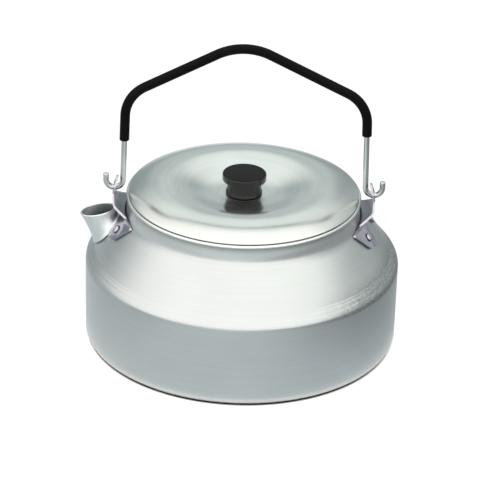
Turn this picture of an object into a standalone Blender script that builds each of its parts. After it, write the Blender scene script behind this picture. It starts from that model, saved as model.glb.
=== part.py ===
"""Camping kettle: spun aluminium body and lid, drawn spout, riveted lugs and a folding bail.

Metres, +Z up. The origin is the centre of the base, on the surface the kettle stands on.
The bail stands in the XZ plane, and the spout leans out along -X under the left lug.
"""

import math

import bmesh
import bpy
from mathutils import Matrix, Vector

# Clearances between pieces that touch, pass through or slide in one another
SEAT_GAP = 0.0003
SHANK_CLEARANCE = 0.0003
BORE_CLEARANCE = 0.0004
SKIRT_CLEARANCE = 0.0006
CUT_DEPTH = 0.0100

# Body, spun from one sheet; the two corner heights are where its straight sides would meet
BODY_RADIUS = 0.0875
BODY_SHEET = 0.0010
BASE_EDGE_RADIUS = 0.0049
SHOULDER_HEIGHT = 0.0478
SHOULDER_CORNER_RADIUS = 0.0060
NECK_RADIUS = 0.0645
NECK_HEIGHT = 0.0110
NECK_FILLET_RADIUS = 0.0100
RIM_HEIGHT = 0.0858
RIM_BEAD_RADIUS = 0.0011
RIM_BEAD_INSET = 0.0004
RIM_BEAD_START = 230
RIM_BEAD_END = -62

# Lid, one sheet with a sunk middle, a rolled edge and a skirt that drops into the neck
LID_SHEET = 0.0008
LID_RADIUS = 0.0637
LID_EDGE_RADIUS = 0.0074
LID_FLANGE_RADIUS = 0.0595
LID_DISH_RADIUS = 0.0437
LID_DOME_TILT = math.radians(27)
LID_SEAT_RADIUS = 0.0125
LID_DISH_DEPTH = 0.0060
LID_SKIRT_DEPTH = 0.0060
LID_LIP_RADIUS = 0.0003

# Knob, moulded, with a cap, a tapering neck and a foot, and its screw and washer
KNOB_HEIGHT = 0.0120
KNOB_CAP_RADIUS = 0.0122
KNOB_CAP_HEIGHT = 0.0043
KNOB_CAP_EDGE = 0.0011
KNOB_NECK_RADIUS = 0.0090
KNOB_NECK_FLARE = 0.0006
KNOB_FOOT_RADIUS = 0.0101
KNOB_FOOT_HEIGHT = 0.0009
KNOB_UNDERCUT_RADIUS = 0.0012
SCREW_RADIUS = 0.0020
SCREW_ENGAGEMENT = 0.0080
SCREW_TIP_CHAMFER = 0.0006
SCREW_HEAD_RADIUS = 0.0038
SCREW_HEAD_HEIGHT = 0.0022
SCREW_SLOT_WIDTH = 0.0010
SCREW_SLOT_DEPTH = 0.0011
WASHER_RADIUS = 0.0055
WASHER_THICKNESS = 0.0008

# Bail, one bent wire with an open hook at each foot; two corner points set its outline
WIRE_RADIUS = 0.00155
LEG_CLEARANCE = 0.00045
PIVOT_ABOVE_RIM = 0.0012
HOOK_RADIUS = 0.00465
HOOK_LIMB = 0.0083
BAIL_HEIGHT = 0.0891
BAIL_SHOULDER_HEIGHT = 0.0554
BAIL_LEG_LEAN = 0.0013
BAIL_SHOULDER_RADIUS = 0.0200
BAIL_PEAK_RADIUS = 0.0280
BAIL_PEAK_SHIFT = -0.0022
GRIP_RADIUS = 0.00270
GRIP_END_LEFT = 0.0290
GRIP_END_RIGHT = 0.0360

# Lugs, pressed from sheet: an eye tab, a web that slopes in to the neck, and two riveted feet
LUG_SHEET = 0.0010
LUG_TAB_OUT = 0.0005
LUG_TAB_RADIUS = 0.0058
LUG_TAB_CORNER_RADIUS = 0.00575
LUG_TAB_LEAN = 0.0026
LUG_TAB_BEND_RADIUS = 0.0120
LUG_EYE_RADIUS = 0.0032
LUG_EYE_SLACK = 0.0005
LUG_WEB_RISE = 0.0048
LUG_WEB_BEND_RADIUS = 0.0026
LUG_FOLD_OUT = 0.0018
LUG_FOLD_RADIUS = 0.0009
LUG_TAB_FOOT_HALF_WIDTH = 0.0098
LUG_FOLD_HALF_WIDTH = 0.0158
LUG_FOOT_HEEL = 0.0264
LUG_FOOT_TOE = 0.0218
LUG_FOOT_DROP = 0.0126
LUG_TOE_RADIUS = 0.0046
LUG_TOE_FLARE = 0.0010
LUG_TOE_INNER_RADIUS = 0.0034
LUG_ARCH_CLEARANCE = 0.0004
LUG_BLANK_OVERRUN = math.radians(4)
RIVET_RADIUS = 0.0016
RIVET_FROM_NECK = 0.0060
RIVET_OFFSET = 0.0153
RIVET_HEAD_RADIUS = 0.0026
RIVET_HEAD_HEIGHT = 0.0013
RIVET_TAIL_RADIUS = 0.0024
RIVET_TAIL_HEIGHT = 0.0010
RIVET_TAIL_TAPER = 0.0004

# Spout, one drawn tube; a half length runs down the shoulder's slope, a half width along Y
SPOUT_FROM_NECK = 0.0109
SPOUT_SHEET = 0.0009
SPOUT_MOUTH_REACH = 0.0055
SPOUT_MOUTH_RISE = 0.0111
SPOUT_MOUTH_TILT = math.radians(12.3)
SPOUT_MOUTH_HALF_LENGTH = 0.0101
SPOUT_MOUTH_HALF_WIDTH = 0.0080
SPOUT_BASE_HALF_LENGTH = 0.0106
SPOUT_BASE_HALF_WIDTH = 0.0095
SPOUT_COLLAR_WIDTH = 0.0012
SPOUT_COLLAR_HEIGHT = 0.0012
SPOUT_WAIST = 0.05
SPOUT_SPIGOT_INSET = 0.0007
SPOUT_CRIMP_WIDTH = 0.0011

# Facets
BODY_FACETS = 56
KNOB_FACETS = 32
SMALL_FACETS = 16
SPOUT_FACETS = 32
LUG_FACETS = 16
DISH_STEPS = 7
FLANGE_STEPS = 5
BEAD_STEPS = 9
DOME_STEPS = 3
LIP_STEPS = 4
COLLAR_STEPS = 3
SETTLING_STEPS = 6
ARCH_STEP = 15
ARCH_START = 30
ARC_STEP = math.radians(20)
MERGE = 0.00001

# Positions that follow from the sizes
NECK_BASE_HEIGHT = RIM_HEIGHT - NECK_HEIGHT
RIVET_OUT = NECK_RADIUS + RIVET_FROM_NECK
SPOUT_OUT = NECK_RADIUS + SPOUT_FROM_NECK
SHOULDER_SLOPE = math.atan2(NECK_BASE_HEIGHT - SHOULDER_HEIGHT, BODY_RADIUS - NECK_RADIUS)
SHOULDER_NORMAL = Vector((math.sin(SHOULDER_SLOPE), math.cos(SHOULDER_SLOPE)))
RIM_OUTER_RADIUS = NECK_RADIUS - RIM_BEAD_INSET + RIM_BEAD_RADIUS
RIM_INNER_RADIUS = NECK_RADIUS - RIM_BEAD_INSET - RIM_BEAD_RADIUS
PIVOT_HEIGHT = RIM_HEIGHT + PIVOT_ABOVE_RIM
LEG_OUT = RIM_OUTER_RADIUS + LEG_CLEARANCE + WIRE_RADIUS
HOOK_OUT = LEG_OUT + HOOK_RADIUS
LID_DROP_AT_EDGE = LID_EDGE_RADIUS - math.sqrt(
    LID_EDGE_RADIUS ** 2 - (LID_RADIUS - LID_FLANGE_RADIUS) ** 2)
LID_FLANGE_RISE = SEAT_GAP + LID_SHEET + LID_DROP_AT_EDGE
LID_DOME_RADIUS = LID_FLANGE_RADIUS + LID_EDGE_RADIUS * math.sin(LID_DOME_TILT)
LID_DOME_FOOT = LID_FLANGE_RISE - LID_EDGE_RADIUS * (1 - math.cos(LID_DOME_TILT))
LID_CROWN = (LID_DOME_RADIUS - LID_DISH_RADIUS) * math.tan(LID_DOME_TILT) / 2
LID_FLOOR_RISE = LID_DOME_FOOT + LID_CROWN - LID_DISH_DEPTH


def clear_scene():
    """Remove every object that the file starts with."""
    for old in list(bpy.data.objects):
        bpy.data.objects.remove(old, do_unlink=True)


def make_collection(name):
    """Return a new collection linked to the scene."""
    group = bpy.data.collections.new(name)
    bpy.context.scene.collection.children.link(group)
    return group


def make_material(name, colour, roughness, metallic):
    """Return a Principled BSDF material with a plain colour."""
    material = bpy.data.materials.new(name)
    material.use_nodes = True
    shader = material.node_tree.nodes["Principled BSDF"]
    shader.inputs["Base Color"].default_value = (*colour, 1.0)
    shader.inputs["Roughness"].default_value = roughness
    shader.inputs["Metallic"].default_value = metallic
    material.diffuse_color = (*colour, 1.0)
    return material


def add_object(name, data, group, material=None, parent=None):
    """Link a new object, give it its material and hang it on its parent."""
    new = bpy.data.objects.new(name, data)
    group.objects.link(new)
    if material is not None:
        data.materials.clear()
        data.materials.append(material)
    new.parent = parent
    return new


def add_pivot(name, group, height):
    """Return an empty on the body's axis that carries a moving assembly."""
    pivot = add_object(name, None, group)
    pivot.empty_display_size = 0.01
    pivot.location = (0, 0, height)
    return pivot


def hide_cutter(cutter):
    """Mark a cutter so that it is never seen as a piece."""
    cutter.hide_render = True
    cutter.display_type = "WIRE"


def rounded(corners):
    """Return the points of a 2D path whose corners (x, z, radius) are turned into arcs."""
    points = []
    for index, (x, z, radius) in enumerate(corners):
        corner = Vector((x, z))
        if radius == 0 or index in (0, len(corners) - 1):
            points.append(corner)
            continue
        back = (Vector(corners[index - 1][:2]) - corner).normalized()
        ahead = (Vector(corners[index + 1][:2]) - corner).normalized()
        turn = math.pi - back.angle(ahead)
        centre = corner + (back + ahead).normalized() * radius / math.cos(turn / 2)
        start = corner + back * radius * math.tan(turn / 2) - centre
        end = corner + ahead * radius * math.tan(turn / 2) - centre
        steps = max(2, math.ceil(turn / ARC_STEP))
        sign = math.copysign(1, start.cross(end))
        for step in range(steps + 1):
            points.append(centre + Matrix.Rotation(sign * turn * step / steps, 2) @ start)
    return points


def offset(corners, distance):
    """Return a path's corners moved to the right of its run, with radii that keep the arcs parallel."""
    sides = [(Vector(b[:2]) - Vector(a[:2])).normalized() for a, b in zip(corners, corners[1:])]
    moved = []
    for index, (x, z, radius) in enumerate(corners):
        before = sides[max(index - 1, 0)]
        after = sides[min(index, len(sides) - 1)]
        normal = Vector((before.y + after.y, -before.x - after.x)).normalized()
        reach = distance / normal.dot(Vector((before.y, -before.x)))
        point = Vector((x, z)) + normal * reach
        turns_right = before.cross(after) < 0
        grown = radius - distance if turns_right else radius + distance
        moved.append((point.x, point.y, grown if radius else 0))
    return moved


def arc(centre, radius, start, end, steps):
    """Return points on an arc between two angles in degrees, both ends included."""
    angles = [math.radians(start + (end - start) * step / steps) for step in range(steps + 1)]
    return [Vector(centre) + radius * Vector((math.cos(a), math.sin(a))) for a in angles]


def turned(name, profile, facets, group, material, parent=None, closed=False):
    """Turn a profile of (radius, height) points about Z with a Screw modifier."""
    mesh = bpy.data.meshes.new(name)
    edges = [(index, index + 1) for index in range(len(profile) - 1)]
    if closed:
        edges.append((len(profile) - 1, 0))
    mesh.from_pydata([(r, 0, z) for r, z in profile], edges, [])
    piece = add_object(name, mesh, group, material, parent)
    screw = piece.modifiers.new("turn", "SCREW")
    screw.steps = facets
    screw.render_steps = facets
    screw.use_merge_vertices = True
    screw.merge_threshold = MERGE
    screw.use_smooth_shade = True
    return piece


def evaluated_mesh(source):
    """Return a copy of an object's mesh with its modifiers applied and loose caps welded."""
    bpy.context.view_layer.update()
    view = source.evaluated_get(bpy.context.evaluated_depsgraph_get())
    mesh = bpy.data.meshes.new_from_object(view)
    work = bmesh.new()
    work.from_mesh(mesh)
    bmesh.ops.remove_doubles(work, verts=work.verts, dist=MERGE)
    bmesh.ops.recalc_face_normals(work, faces=work.faces)
    work.to_mesh(mesh)
    work.free()
    return mesh


def convert(source, name, group, material=None, parent=None):
    """Replace a curve or a modified object by a plain mesh object in the same place."""
    mesh = evaluated_mesh(source)
    piece = add_object(name, mesh, group, material, parent)
    piece.matrix_world = source.matrix_world
    bpy.data.objects.remove(source, do_unlink=True)
    return piece


def shade_round(piece, angle=math.radians(35)):
    """Shade a mesh smooth, with its sharp edges kept."""
    piece.data.shade_smooth()
    piece.data.set_sharp_from_angle(angle=angle)


def tube(name, path, radius, resolution, group):
    """Return a round wire that follows a path of (x, z) points in the XZ plane, as a mesh."""
    curve = bpy.data.curves.new(name, "CURVE")
    curve.dimensions = "3D"
    curve.bevel_depth = radius
    curve.bevel_resolution = resolution
    curve.use_fill_caps = True
    spline = curve.splines.new("POLY")
    spline.points.add(len(path) - 1)
    for point, (x, z) in zip(spline.points, path):
        point.co = (x, 0, z, 1)
    guide = add_object(name + "_path", curve, group)
    return convert(guide, name, group)


def plate(name, outline, half_thickness, group):
    """Return a flat plate, outlined by (y, z) points and standing across the X axis, as a mesh."""
    curve = bpy.data.curves.new(name, "CURVE")
    curve.dimensions = "2D"
    curve.fill_mode = "BOTH"
    curve.extrude = half_thickness
    spline = curve.splines.new("POLY")
    spline.points.add(len(outline) - 1)
    for point, (y, z) in zip(spline.points, outline):
        point.co = (y, z, 0, 1)
    spline.use_cyclic_u = True
    guide = add_object(name + "_outline", curve, group)
    guide.rotation_euler = (math.pi / 2, 0, math.pi / 2)
    bpy.context.view_layer.update()
    return convert(guide, name, group)


def rod(name, radius, length, group, scale=(1, 1)):
    """Return a plain rod along Z, centred on its origin, round or stretched to an oval."""
    work = bmesh.new()
    bmesh.ops.create_cone(
        work, cap_ends=True, segments=SPOUT_FACETS, radius1=radius, radius2=radius, depth=length,
        matrix=Matrix.Diagonal((scale[0], scale[1], 1, 1)))
    mesh = bpy.data.meshes.new(name)
    work.to_mesh(mesh)
    work.free()
    cutter = add_object(name, mesh, group)
    hide_cutter(cutter)
    return cutter


def combine(piece, other, operation):
    """Cut a piece by another, or keep what the two share."""
    hide_cutter(other)
    modifier = piece.modifiers.new(other.name, "BOOLEAN")
    modifier.operation = operation
    modifier.solver = "EXACT"
    modifier.object = other


def shoulder_height(radius):
    """Return the height of the shoulder's straight side at a radius."""
    return NECK_BASE_HEIGHT - (radius - NECK_RADIUS) * math.tan(SHOULDER_SLOPE)


def on_shoulder(radius, above=0.0):
    """Return (radius, height) of a point above the shoulder, measured square to it."""
    return Vector((radius, shoulder_height(radius))) + SHOULDER_NORMAL * above


def body_outline():
    """Return the corners of the body's outside, from the rim down to the middle of the base."""
    return [
        (NECK_RADIUS, RIM_HEIGHT - 2 * RIM_BEAD_RADIUS, 0),
        (NECK_RADIUS, NECK_BASE_HEIGHT, NECK_FILLET_RADIUS),
        (BODY_RADIUS, SHOULDER_HEIGHT, SHOULDER_CORNER_RADIUS),
        (BODY_RADIUS, 0, BASE_EDGE_RADIUS),
        (0, 0, 0),
    ]


def build_body(group, cutters, material):
    """Spin the vessel with its rolled rim, and open its holes for the spout and the rivets."""
    outside = rounded(body_outline())
    inside = rounded(offset(body_outline(), BODY_SHEET))
    bead_centre = (NECK_RADIUS - RIM_BEAD_INSET, RIM_HEIGHT - RIM_BEAD_RADIUS)
    bead = arc(bead_centre, RIM_BEAD_RADIUS, RIM_BEAD_START, RIM_BEAD_END, BEAD_STEPS)
    body = turned("kettle_body", inside[::-1] + bead + outside, BODY_FACETS, group, material)
    hole_length = SPOUT_BASE_HALF_LENGTH - SPOUT_SPIGOT_INSET + SHANK_CLEARANCE
    hole_width = SPOUT_BASE_HALF_WIDTH - SPOUT_SPIGOT_INSET + SHANK_CLEARANCE
    spout_hole = rod("spout_hole", 1, CUT_DEPTH, cutters, scale=(hole_length, hole_width))
    place_on_shoulder(spout_hole, SPOUT_OUT, math.pi)
    combine(body, spout_hole, "DIFFERENCE")
    for name, azimuth in rivet_azimuths().items():
        hole = rod(name + "_body_hole", RIVET_RADIUS + SHANK_CLEARANCE, CUT_DEPTH, cutters)
        place_on_shoulder(hole, RIVET_OUT, azimuth)
        combine(body, hole, "DIFFERENCE")
    return body


def place_on_shoulder(piece, radius, azimuth):
    """Stand a piece's Z axis square on the shoulder, with its X axis down the slope."""
    piece.location = (
        radius * math.cos(azimuth), radius * math.sin(azimuth), shoulder_height(radius))
    piece.rotation_euler = (0, SHOULDER_SLOPE, azimuth)


def rivet_azimuths():
    """Return each rivet's name and the azimuth that it stands at."""
    swing = math.asin(RIVET_OFFSET / RIVET_OUT)
    return {
        "rivet_left_front": math.pi + swing,
        "rivet_left_rear": math.pi - swing,
        "rivet_right_front": -swing,
        "rivet_right_rear": swing,
    }


def lug_section():
    """Return the lug's middle surface in section, from the top of the tab down its foot."""
    tab = HOOK_OUT + LUG_TAB_OUT
    eye = eye_height()
    level = SEAT_GAP + LUG_SHEET / 2
    bend = NECK_FILLET_RADIUS - level
    bend_end = math.pi / 2 - SHOULDER_SLOPE
    hollow = Vector((
        NECK_RADIUS + NECK_FILLET_RADIUS,
        NECK_BASE_HEIGHT + NECK_FILLET_RADIUS * math.tan(bend_end / 2)))
    bend_start = math.acos((hollow.x - NECK_RADIUS - LUG_FOLD_OUT) / bend)
    foot_top = hollow + bend * Vector((-math.cos(bend_start), -math.sin(bend_start)))
    fold = foot_top + LUG_FOLD_RADIUS * Vector((-math.sin(bend_start), math.cos(bend_start)))
    middle = (bend_start + bend_end) / 2
    corner_reach = bend / math.cos((bend_end - bend_start) / 2)
    corner = hollow + corner_reach * Vector((-math.cos(middle), -math.sin(middle)))
    end = on_shoulder(BODY_RADIUS - LUG_TAB_RADIUS, level)
    return [
        (tab - LUG_TAB_LEAN, eye + LUG_TAB_RADIUS + LUG_SHEET, 0),
        (tab, eye - LUG_EYE_RADIUS / 2, LUG_TAB_BEND_RADIUS),
        (tab, fold.y + LUG_WEB_RISE, LUG_WEB_BEND_RADIUS),
        (fold.x, fold.y, LUG_FOLD_RADIUS),
        (corner.x, corner.y, bend),
        (end.x, end.y, 0),
    ]


def eye_height():
    """Return the height of the eye's centre, with the wire lying on the bottom of the hole."""
    return PIVOT_HEIGHT - WIRE_RADIUS - LUG_EYE_SLACK + LUG_EYE_RADIUS


def lug_outline():
    """Return the lug's outline as it is seen along X, as (y, z) points."""
    eye = eye_height()
    top = eye + LUG_TAB_RADIUS
    fold = lug_section()[3][1]
    heel = fold - LUG_SHEET
    toe = heel - LUG_FOOT_DROP * math.sin(SHOULDER_SLOPE)
    arch_width = SPOUT_BASE_HALF_WIDTH + SPOUT_COLLAR_WIDTH + LUG_ARCH_CLEARANCE
    arch_length = SPOUT_BASE_HALF_LENGTH + SPOUT_COLLAR_WIDTH
    arch_rise = (arch_length * math.sin(SHOULDER_SLOPE) + LUG_ARCH_CLEARANCE
                 + SPOUT_COLLAR_HEIGHT * math.cos(SHOULDER_SLOPE))
    arch_centre = shoulder_height(SPOUT_OUT)
    arch = [Vector((arch_width * math.cos(math.radians(a)),
                    arch_centre + arch_rise * math.sin(math.radians(a))))
            for a in range(ARCH_START, 181 - ARCH_START, ARCH_STEP)]
    side = rounded([
        (0, top, 0),
        (LUG_TAB_RADIUS, top, LUG_TAB_CORNER_RADIUS),
        (LUG_TAB_RADIUS, eye - LUG_TAB_RADIUS / 2, 0),
        (LUG_TAB_FOOT_HALF_WIDTH, fold + LUG_WEB_RISE, LUG_TAB_RADIUS),
        (LUG_FOLD_HALF_WIDTH, fold + LUG_SHEET / 2, LUG_SHEET),
        (LUG_FOOT_HEEL, heel, LUG_SHEET),
        (LUG_FOOT_TOE, toe, LUG_TOE_RADIUS),
        (arch_width + LUG_TOE_FLARE, toe - LUG_SHEET, LUG_TOE_INNER_RADIUS),
        (arch[0].x, arch[0].y, 0),
    ])
    mirrored = [Vector((-y, z)) for y, z in side[:0:-1]]
    return side + arch[1:-1] + mirrored


def build_lugs(group, cutters, material):
    """Press one lug out of a bent sheet that follows the shoulder, and mount it on both sides."""
    half_turn = math.asin(LUG_FOOT_HEEL / (NECK_RADIUS + LUG_FOLD_OUT)) + LUG_BLANK_OVERRUN
    section = rounded(lug_section())
    sheet = turned("lug_sheet", section, LUG_FACETS, cutters, None)
    sheet.modifiers["turn"].angle = 2 * half_turn
    sheet.rotation_euler = (0, 0, -half_turn)
    solid = sheet.modifiers.new("sheet", "SOLIDIFY")
    solid.thickness = LUG_SHEET
    solid.offset = 0
    solid.use_even_offset = True
    blank = convert(sheet, "lug_blank", cutters)
    outline = plate("lug_outline", lug_outline(), BODY_RADIUS, cutters)
    outline.location.x += BODY_RADIUS
    combine(blank, outline, "INTERSECT")
    eye = rod("lug_eye", LUG_EYE_RADIUS, LUG_TAB_RADIUS * 2, cutters)
    eye.location = (HOOK_OUT + LUG_TAB_OUT, 0, eye_height())
    eye.rotation_euler = (0, math.pi / 2, 0)
    combine(blank, eye, "DIFFERENCE")
    for name, azimuth in rivet_azimuths().items():
        if "right" in name:
            hole = rod(name + "_lug_hole", RIVET_RADIUS + SHANK_CLEARANCE, CUT_DEPTH, cutters)
            place_on_shoulder(hole, RIVET_OUT, azimuth)
            combine(blank, hole, "DIFFERENCE")
    pressed = evaluated_mesh(blank)
    pressed.transform(blank.matrix_world)
    bpy.data.objects.remove(blank, do_unlink=True)
    for name, angle in (("lug_right", 0), ("lug_left", math.pi)):
        lug = add_object(name, pressed, group, material)
        lug.rotation_euler = (0, 0, angle)
        shade_round(lug)


def build_rivets(group, material):
    """Set a rivet through each foot and the wall behind it, with a tail formed inside."""
    head = 2 * SEAT_GAP + LUG_SHEET
    tail = -BODY_SHEET - SEAT_GAP
    dome = [Vector((RIVET_HEAD_RADIUS * x, head + RIVET_HEAD_HEIGHT * z))
            for x, z in arc((0, 0), 1, 90, 0, DOME_STEPS)]
    profile = dome + [
        Vector((RIVET_RADIUS, head)),
        Vector((RIVET_RADIUS, tail)),
        Vector((RIVET_TAIL_RADIUS, tail)),
        Vector((RIVET_TAIL_RADIUS - RIVET_TAIL_TAPER, tail - RIVET_TAIL_HEIGHT)),
        Vector((0, tail - RIVET_TAIL_HEIGHT)),
    ]
    for name, azimuth in rivet_azimuths().items():
        rivet = turned(name, profile, SMALL_FACETS, group, material)
        place_on_shoulder(rivet, RIVET_OUT, azimuth)


def spout_base_ring(half_length, half_width, above):
    """Return an oval ring that lies on the shoulder, or at a height square to it."""
    middle = Vector((-SPOUT_OUT, 0, shoulder_height(SPOUT_OUT)))
    down = Vector((-math.cos(SHOULDER_SLOPE), 0, -math.sin(SHOULDER_SLOPE)))
    out = Vector((-SHOULDER_NORMAL.x, 0, SHOULDER_NORMAL.y))
    ring = []
    for step in range(SPOUT_FACETS):
        angle = math.tau * step / SPOUT_FACETS
        point = middle + down * half_length * math.cos(angle)
        point.y = half_width * math.sin(angle)
        for _ in range(SETTLING_STEPS):
            radius = math.hypot(point.x, point.y)
            level = (Vector((radius, point.z)) - on_shoulder(SPOUT_OUT)).dot(SHOULDER_NORMAL)
            point += out * (above - level)
        ring.append(point)
    return ring


def spout_mouth_ring(half_length, half_width, above):
    """Return an oval ring in the tilted plane of the spout's mouth."""
    height = shoulder_height(SPOUT_OUT) + SPOUT_MOUTH_RISE
    middle = Vector((-SPOUT_OUT - SPOUT_MOUTH_REACH, 0, height))
    down = Vector((-math.cos(SPOUT_MOUTH_TILT), 0, -math.sin(SPOUT_MOUTH_TILT)))
    out = Vector((-math.sin(SPOUT_MOUTH_TILT), 0, math.cos(SPOUT_MOUTH_TILT)))
    ring = []
    for step in range(SPOUT_FACETS):
        angle = math.tau * step / SPOUT_FACETS
        side = Vector((0, half_width * math.sin(angle), 0))
        ring.append(middle + down * half_length * math.cos(angle) + side + out * above)
    return ring


def blend_rings(lower, upper, share):
    """Return the ring at a share of the way up the spout, drawn in at the waist."""
    middle = sum((a.lerp(b, share) for a, b in zip(lower, upper)), Vector()) / len(lower)
    draw = 1 - SPOUT_WAIST * math.sin(math.pi * share)
    return [middle + (a.lerp(b, share) - middle) * draw for a, b in zip(lower, upper)]


def build_spout(group, material):
    """Loft the spout through its rings: down the outside, through the wall, and up the bore."""
    base = (SPOUT_BASE_HALF_LENGTH, SPOUT_BASE_HALF_WIDTH)
    mouth = (SPOUT_MOUTH_HALF_LENGTH, SPOUT_MOUTH_HALF_WIDTH)
    wall = SPOUT_SHEET
    spigot = -SPOUT_SPIGOT_INSET
    crimp = spigot + SPOUT_CRIMP_WIDTH
    inside = -BODY_SHEET - SEAT_GAP

    def base_ring(grow, above):
        return spout_base_ring(base[0] + grow, base[1] + grow, above)

    def mouth_ring(grow, above):
        return spout_mouth_ring(mouth[0] + grow, mouth[1] + grow, above)

    shares = (0.2, 0.5, 0.8)
    half = wall / 2
    lip = [mouth_ring(x - half, z - half) for x, z in arc((0, 0), half, 0, 180, LIP_STEPS)]
    outer_low = base_ring(0, SPOUT_COLLAR_HEIGHT + half)
    bore_low = base_ring(spigot - wall, 0)
    rings = [blend_rings(outer_low, lip[0], share) for share in reversed(shares)]
    rings.append(outer_low)
    rise = SPOUT_COLLAR_HEIGHT - SEAT_GAP
    for x, z in arc((0, 0), 1, 60, 0, COLLAR_STEPS):
        rings.append(base_ring(SPOUT_COLLAR_WIDTH * x, SEAT_GAP + rise * z))
    rings += [base_ring(spigot, SEAT_GAP), base_ring(spigot, inside)]
    rings += [base_ring(crimp, inside), base_ring(crimp, inside - wall)]
    rings += [base_ring(spigot - wall, inside - wall), bore_low]
    rings += [blend_rings(bore_low, lip[-1], share) for share in shares]
    rings += lip[::-1]

    points = [point for ring in rings for point in ring]
    faces = []
    for row in range(len(rings)):
        below = (row + 1) % len(rings)
        for step in range(SPOUT_FACETS):
            beside = (step + 1) % SPOUT_FACETS
            corners = ((row, step), (row, beside), (below, beside), (below, step))
            faces.append([r * SPOUT_FACETS + s for r, s in corners])
    mesh = bpy.data.meshes.new("spout")
    mesh.from_pydata(points, [], faces)
    work = bmesh.new()
    work.from_mesh(mesh)
    bmesh.ops.recalc_face_normals(work, faces=work.faces)
    work.to_mesh(mesh)
    work.free()
    shade_round(add_object("spout", mesh, group, material))


def lid_top():
    """Return the lid's top surface from the screw hole out to the edge, from the rim's height."""
    points = [Vector((SCREW_RADIUS + SHANK_CLEARANCE, LID_FLOOR_RISE))]
    for step in range(DISH_STEPS + 1):
        share = step / DISH_STEPS
        radius = LID_SEAT_RADIUS + (LID_DISH_RADIUS - LID_SEAT_RADIUS) * share
        rise = LID_DISH_DEPTH * (1 - math.cos(math.pi * share)) / 2
        points.append(Vector((radius, LID_FLOOR_RISE + rise)))
    for step in range(1, FLANGE_STEPS):
        share = step / FLANGE_STEPS
        radius = LID_DISH_RADIUS + (LID_DOME_RADIUS - LID_DISH_RADIUS) * share
        points.append(Vector((radius, LID_DOME_FOOT + LID_CROWN * (1 - share ** 2))))
    tilt = math.degrees(LID_DOME_TILT)
    sweep = math.degrees(math.asin((LID_RADIUS - LID_FLANGE_RADIUS) / LID_EDGE_RADIUS))
    centre = (LID_FLANGE_RADIUS, LID_FLANGE_RISE - LID_EDGE_RADIUS)
    return points + arc(centre, LID_EDGE_RADIUS, 90 - tilt, 90 - sweep, 3)


def build_lid(group, parent, material):
    """Turn the lid with its sunk middle, its rolled edge and the skirt that locates it."""
    top = lid_top()
    edge = top[-1]
    under = SEAT_GAP
    skirt = RIM_INNER_RADIUS - SKIRT_CLEARANCE
    foot = -LID_SKIRT_DEPTH
    lip = LID_LIP_RADIUS
    bottom = [point - Vector((0, LID_SHEET)) for point in top if point.x < skirt - LID_SHEET]
    profile = top + [
        Vector((edge.x + lip, edge.y - LID_SHEET / 2)),
        Vector((edge.x, under)),
        Vector((skirt, under)),
        Vector((skirt, foot + lip)),
        Vector((skirt - lip, foot)),
        Vector((skirt - LID_SHEET + lip, foot)),
        Vector((skirt - LID_SHEET, foot + lip)),
        Vector((skirt - LID_SHEET, LID_FLANGE_RISE - LID_SHEET - lip)),
    ] + bottom[::-1]
    turned("lid", profile, BODY_FACETS, group, material, parent, closed=True)


def build_knob(group, parent, material):
    """Turn the knob with a blind hole for its screw, standing on the middle of the lid."""
    foot = LID_FLOOR_RISE + SEAT_GAP
    top = foot + KNOB_HEIGHT
    cap = top - KNOB_CAP_HEIGHT
    hole = SCREW_RADIUS + SHANK_CLEARANCE
    flare = KNOB_NECK_RADIUS + KNOB_NECK_FLARE
    profile = rounded([
        (0, top, 0),
        (KNOB_CAP_RADIUS, top, KNOB_CAP_EDGE),
        (KNOB_CAP_RADIUS, cap, KNOB_CAP_EDGE / 2),
        (KNOB_NECK_RADIUS, cap, KNOB_UNDERCUT_RADIUS),
        (flare, foot + KNOB_FOOT_HEIGHT + KNOB_NECK_FLARE, 0),
        (KNOB_FOOT_RADIUS, foot + KNOB_FOOT_HEIGHT, 0),
        (KNOB_FOOT_RADIUS, foot, 0),
        (hole, foot, 0),
        (hole, foot + SCREW_ENGAGEMENT, 0),
        (0, foot + SCREW_ENGAGEMENT, 0),
    ])
    turned("knob", profile, KNOB_FACETS, group, material, parent)


def build_fixing(group, cutters, parent, material):
    """Turn the washer and the slotted screw that hold the knob from under the lid."""
    washer_top = LID_FLOOR_RISE - LID_SHEET - SEAT_GAP
    washer_foot = washer_top - WASHER_THICKNESS
    bore = SCREW_RADIUS + SHANK_CLEARANCE
    ring = [
        Vector((bore, washer_top)),
        Vector((WASHER_RADIUS, washer_top)),
        Vector((WASHER_RADIUS, washer_foot)),
        Vector((bore, washer_foot)),
    ]
    turned("knob_washer", ring, SMALL_FACETS, group, material, parent, closed=True)
    seat = washer_foot - SEAT_GAP
    tip = LID_FLOOR_RISE + SCREW_ENGAGEMENT - BORE_CLEARANCE
    profile = rounded([
        (0, tip, 0),
        (SCREW_RADIUS - SCREW_TIP_CHAMFER, tip, 0),
        (SCREW_RADIUS, tip - SCREW_TIP_CHAMFER, 0),
        (SCREW_RADIUS, seat, 0),
        (SCREW_HEAD_RADIUS, seat, 0),
        (SCREW_HEAD_RADIUS, seat - SCREW_HEAD_HEIGHT, SCREW_HEAD_HEIGHT / 2),
        (0, seat - SCREW_HEAD_HEIGHT, 0),
    ])
    screw = turned("knob_screw", profile, SMALL_FACETS, group, material, parent)
    work = bmesh.new()
    size = (3 * SCREW_HEAD_RADIUS, SCREW_SLOT_WIDTH, 2 * SCREW_SLOT_DEPTH)
    bmesh.ops.create_cube(work, size=1, matrix=Matrix.Diagonal((*size, 1)))
    mesh = bpy.data.meshes.new("screw_slot")
    work.to_mesh(mesh)
    work.free()
    slot = add_object("screw_slot", mesh, cutters, parent=parent)
    slot.location = (0, 0, seat - SCREW_HEAD_HEIGHT)
    combine(screw, slot, "DIFFERENCE")


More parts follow.
